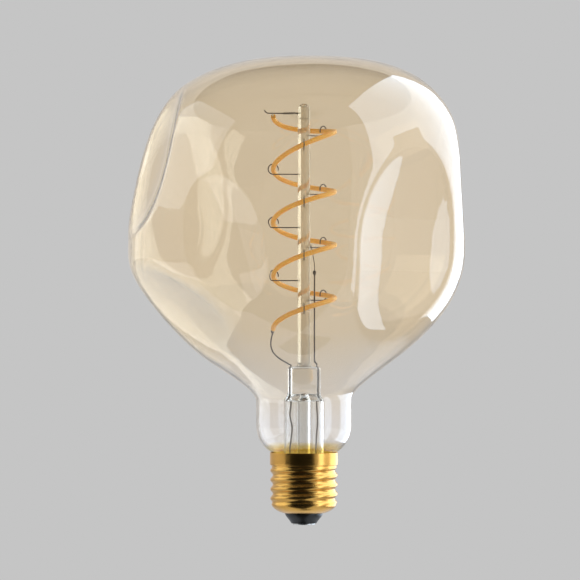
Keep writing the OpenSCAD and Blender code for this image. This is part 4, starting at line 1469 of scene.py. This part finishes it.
@dataclass
class Driver:
    """The small driver in the cap. Its pieces keep their own shapes and get their finishes."""

    dress: tuple[tuple[Finish, tuple[str, ...]], ...] = (
        (CEMENT, ("capping_cement",)),
        (WHITE_PLASTIC, ("driver_cup",)),
        (CIRCUIT_BOARD, ("driver_board",)),
        (RADIO_BOARD, ("wireless_module",)),
        (CHIP_BLACK, ("bridge_rectifier", "driver_chip")),
        (RESISTOR_BODY, ("fusible_resistor",)),
        (INDUCTOR_CORE, ("filter_inductor",)),
        (CAPACITOR_CAN, ("smoothing_capacitor",)),
        (SHIELD_TIN, ("module_shield", "filament_end_tabs")),
        (WIRE_JACKET, ("live_wire",)),
        (SOLDER, ("neutral_wire", "shell_solder")),
        (CARRIER, ("filament_carrier",)),
    )

    def build(self, nodes: dict[str, Object]) -> None:
        """Dresses each node in its finish.

        Args:
            nodes: The model's nodes, by name.
        """
        for finish, names in self.dress:
            material = finish.material()
            for name in names:
                nodes[name].material_slots[0].material = material
                LOG.info("%s: finished in %s", name, finish.name)


# ---------------------------------------------------------------- studio


@dataclass(frozen=True)
class Panel:
    """An upright soft light panel, given by its two lower corners, its top and how bright it is."""

    name: str
    start: tuple[float, float]
    end: tuple[float, float]
    low: float
    top: float
    glow: float
    colour: Colour = (1.0, 1.0, 1.0)

    def light(self) -> None:
        """Puts the panel in the room as a light that the camera doesn't see and that faces the bulb."""
        start, end = Vector((*self.start, 0)), Vector((*self.end, 0))
        data = bpy.data.lights.new(self.name, "AREA")
        data.shape = "RECTANGLE"
        data.size, data.size_y = (end - start).length, self.top - self.low
        data.energy = self.glow * data.size * data.size_y * math.pi
        data.color = self.colour
        lamp = in_scene(self.name, data)
        middle = (start + end) / 2
        across = (end - start).cross(Vector((0, 0, 1)))
        facing = across if across.dot(middle) < 0 else -across
        lamp.location = (middle.x, middle.y, (self.low + self.top) / 2)
        lamp.rotation_mode = "QUATERNION"
        lamp.rotation_quaternion = facing.to_track_quat("-Z", "Y")
        lamp.visible_camera = False


@dataclass
class Studio:
    """A pale grey room with soft panels, dark cloths round the camera and overhead, and the camera."""

    grey: float = 0.558
    camera_place: Point = (-0.0054, -1.6, 0.091)
    lens_mm: float = 256.0
    floor_z: float = -1.0
    floor_r: float = 7.0
    ceiling_z: float = 2.6
    ceiling_r: float = 3.0
    panels: tuple[Panel, ...] = (
        Panel("right_front_strip", (1.0, -0.8), (1.0, -0.36), -0.95, 2.2, 2.4, (0.66, 0.8, 1.0)),
        Panel("right_rear_panel", (1.0, 0.16), (1.0, 2.7), -0.7, 2.2, 2.4, (0.66, 0.8, 1.0)),
        Panel("right_top_panel", (1.0, -0.36), (1.0, 0.16), 0.62, 2.2, 2.4, (0.66, 0.8, 1.0)),
        Panel("left_high_panel", (-1.1, -0.6), (-1.1, 0.9), 0.2, 1.4, 0.85, (0.78, 0.9, 1.0)),
        Panel("left_low_panel", (-1.1, -0.9), (-1.1, 0.6), -0.58, -0.12, 0.7, (0.9, 0.95, 1.0)),
        Panel("right_middle_panel", (1.0, -0.36), (1.0, 0.16), -0.58, 0.62, 0.4, (1.0, 0.97, 0.94)),
        Panel("back_panel", (-1.2, 2.6), (1.2, 2.6), -0.58, 1.9, 0.13, (1.0, 0.8, 0.6)),
    )
    flag_r: float = 2.4
    flag_from_deg: float = -66.0
    flag_to_deg: float = 36.0
    flag_low_deg: float = -105.0
    flag_top_deg: float = 112.0
    flag_centre_z: float = 0.1

    def world(self) -> None:
        """The even grey of the room."""
        world = bpy.data.worlds.new("room")
        world.use_nodes = True
        tree = Tree(world.node_tree)
        light = tree.put("ShaderNodeBackground", {"Color": (self.grey,) * 3 + (1.0,), "Strength": 1.0})
        tree.fill(tree.put("ShaderNodeOutputWorld").inputs["Surface"], light.outputs[0])
        bpy.context.scene.world = world

    def sheet(self, name: str, points: Iterable[Point], faces: Faces, paint: Finish) -> Object:
        """A thin sheet of the room.

        Args:
            name: Its name.
            points: Its vertices, in metres.
            faces: Its faces.
            paint: Its finish.

        Returns:
            The sheet.
        """
        mesh = bpy.data.meshes.new(name)
        mesh.from_pydata(list(points), [], faces)
        mesh.materials.append(paint.material())
        sheet = in_scene(name, mesh)
        return sheet

    def disc(self, name: str, z: float, radius: float, paint: Finish) -> Object:
        """A flat round sheet of the room at a height."""
        points, faces = lathe([(0.0, 0.0), (radius, 0.0)], 96)
        return self.sheet(name, [(x, y, up + z) for x, y, up in points], faces, paint)

    def floor(self) -> None:
        """The plain pale floor, well under the hanging bulb."""
        self.disc("floor", self.floor_z, self.floor_r, FLOOR_PAINT)

    def ceiling(self) -> None:
        """A dark cloth overhead, which draws the glass's edges and which the camera doesn't see."""
        cloth = self.disc("dark_ceiling", self.ceiling_z, self.ceiling_r, BLACK_FELT)
        cloth.visible_camera = cloth.visible_shadow = cloth.visible_diffuse = False

    def flag(self) -> None:
        """The tall dark cloth round the camera, which the camera itself doesn't see."""
        steps = 20
        azimuths = np.radians(np.linspace(self.flag_from_deg, self.flag_to_deg, steps + 1))
        heights = np.radians(np.linspace(self.flag_low_deg, self.flag_top_deg, steps + 1))
        drop = self.flag_centre_z - self.floor_z - 0.02
        points = []
        for e in heights:
            reach = min(self.flag_r, drop / -math.sin(e)) if e < 0 else self.flag_r
            r, z = reach * math.cos(e), self.flag_centre_z + reach * math.sin(e)
            points += [(r * math.sin(a), -r * math.cos(a), z) for a in azimuths]
        flag = self.sheet("dark_flag", points, grid_faces(steps + 1, steps + 1), BLACK_FELT)
        flag.visible_camera = flag.visible_transmission = False
        flag.visible_diffuse = flag.visible_shadow = False

    def camera(self) -> None:
        """The camera, level with the middle of the bulb."""
        camera = in_scene("camera", bpy.data.cameras.new("camera"))
        camera.location = self.camera_place
        camera.rotation_euler = (math.pi / 2, 0, 0)
        camera.data.lens = self.lens_mm
        camera.data.sensor_width = 36.0
        bpy.context.scene.camera = camera

    def build(self) -> None:
        """Sets up the room."""
        bpy.context.scene.view_settings.view_transform = "Standard"
        self.camera()
        self.world()
        self.floor()
        self.ceiling()
        self.flag()
        for panel in self.panels:
            panel.light()


def main() -> None:
    """Builds the bulb round its frame and reports each piece."""
    logging.basicConfig(level=logging.INFO, format="%(name)s: %(message)s")
    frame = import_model()
    Studio().build()
    coil = FilamentCoil()
    BlownGlobe().build()
    GlassStem().build()
    coil.build()
    WireWork(coil).build()
    ScrewCap().build()
    Driver().build(frame["nodes"])


if __name__ == "__main__":
    main()
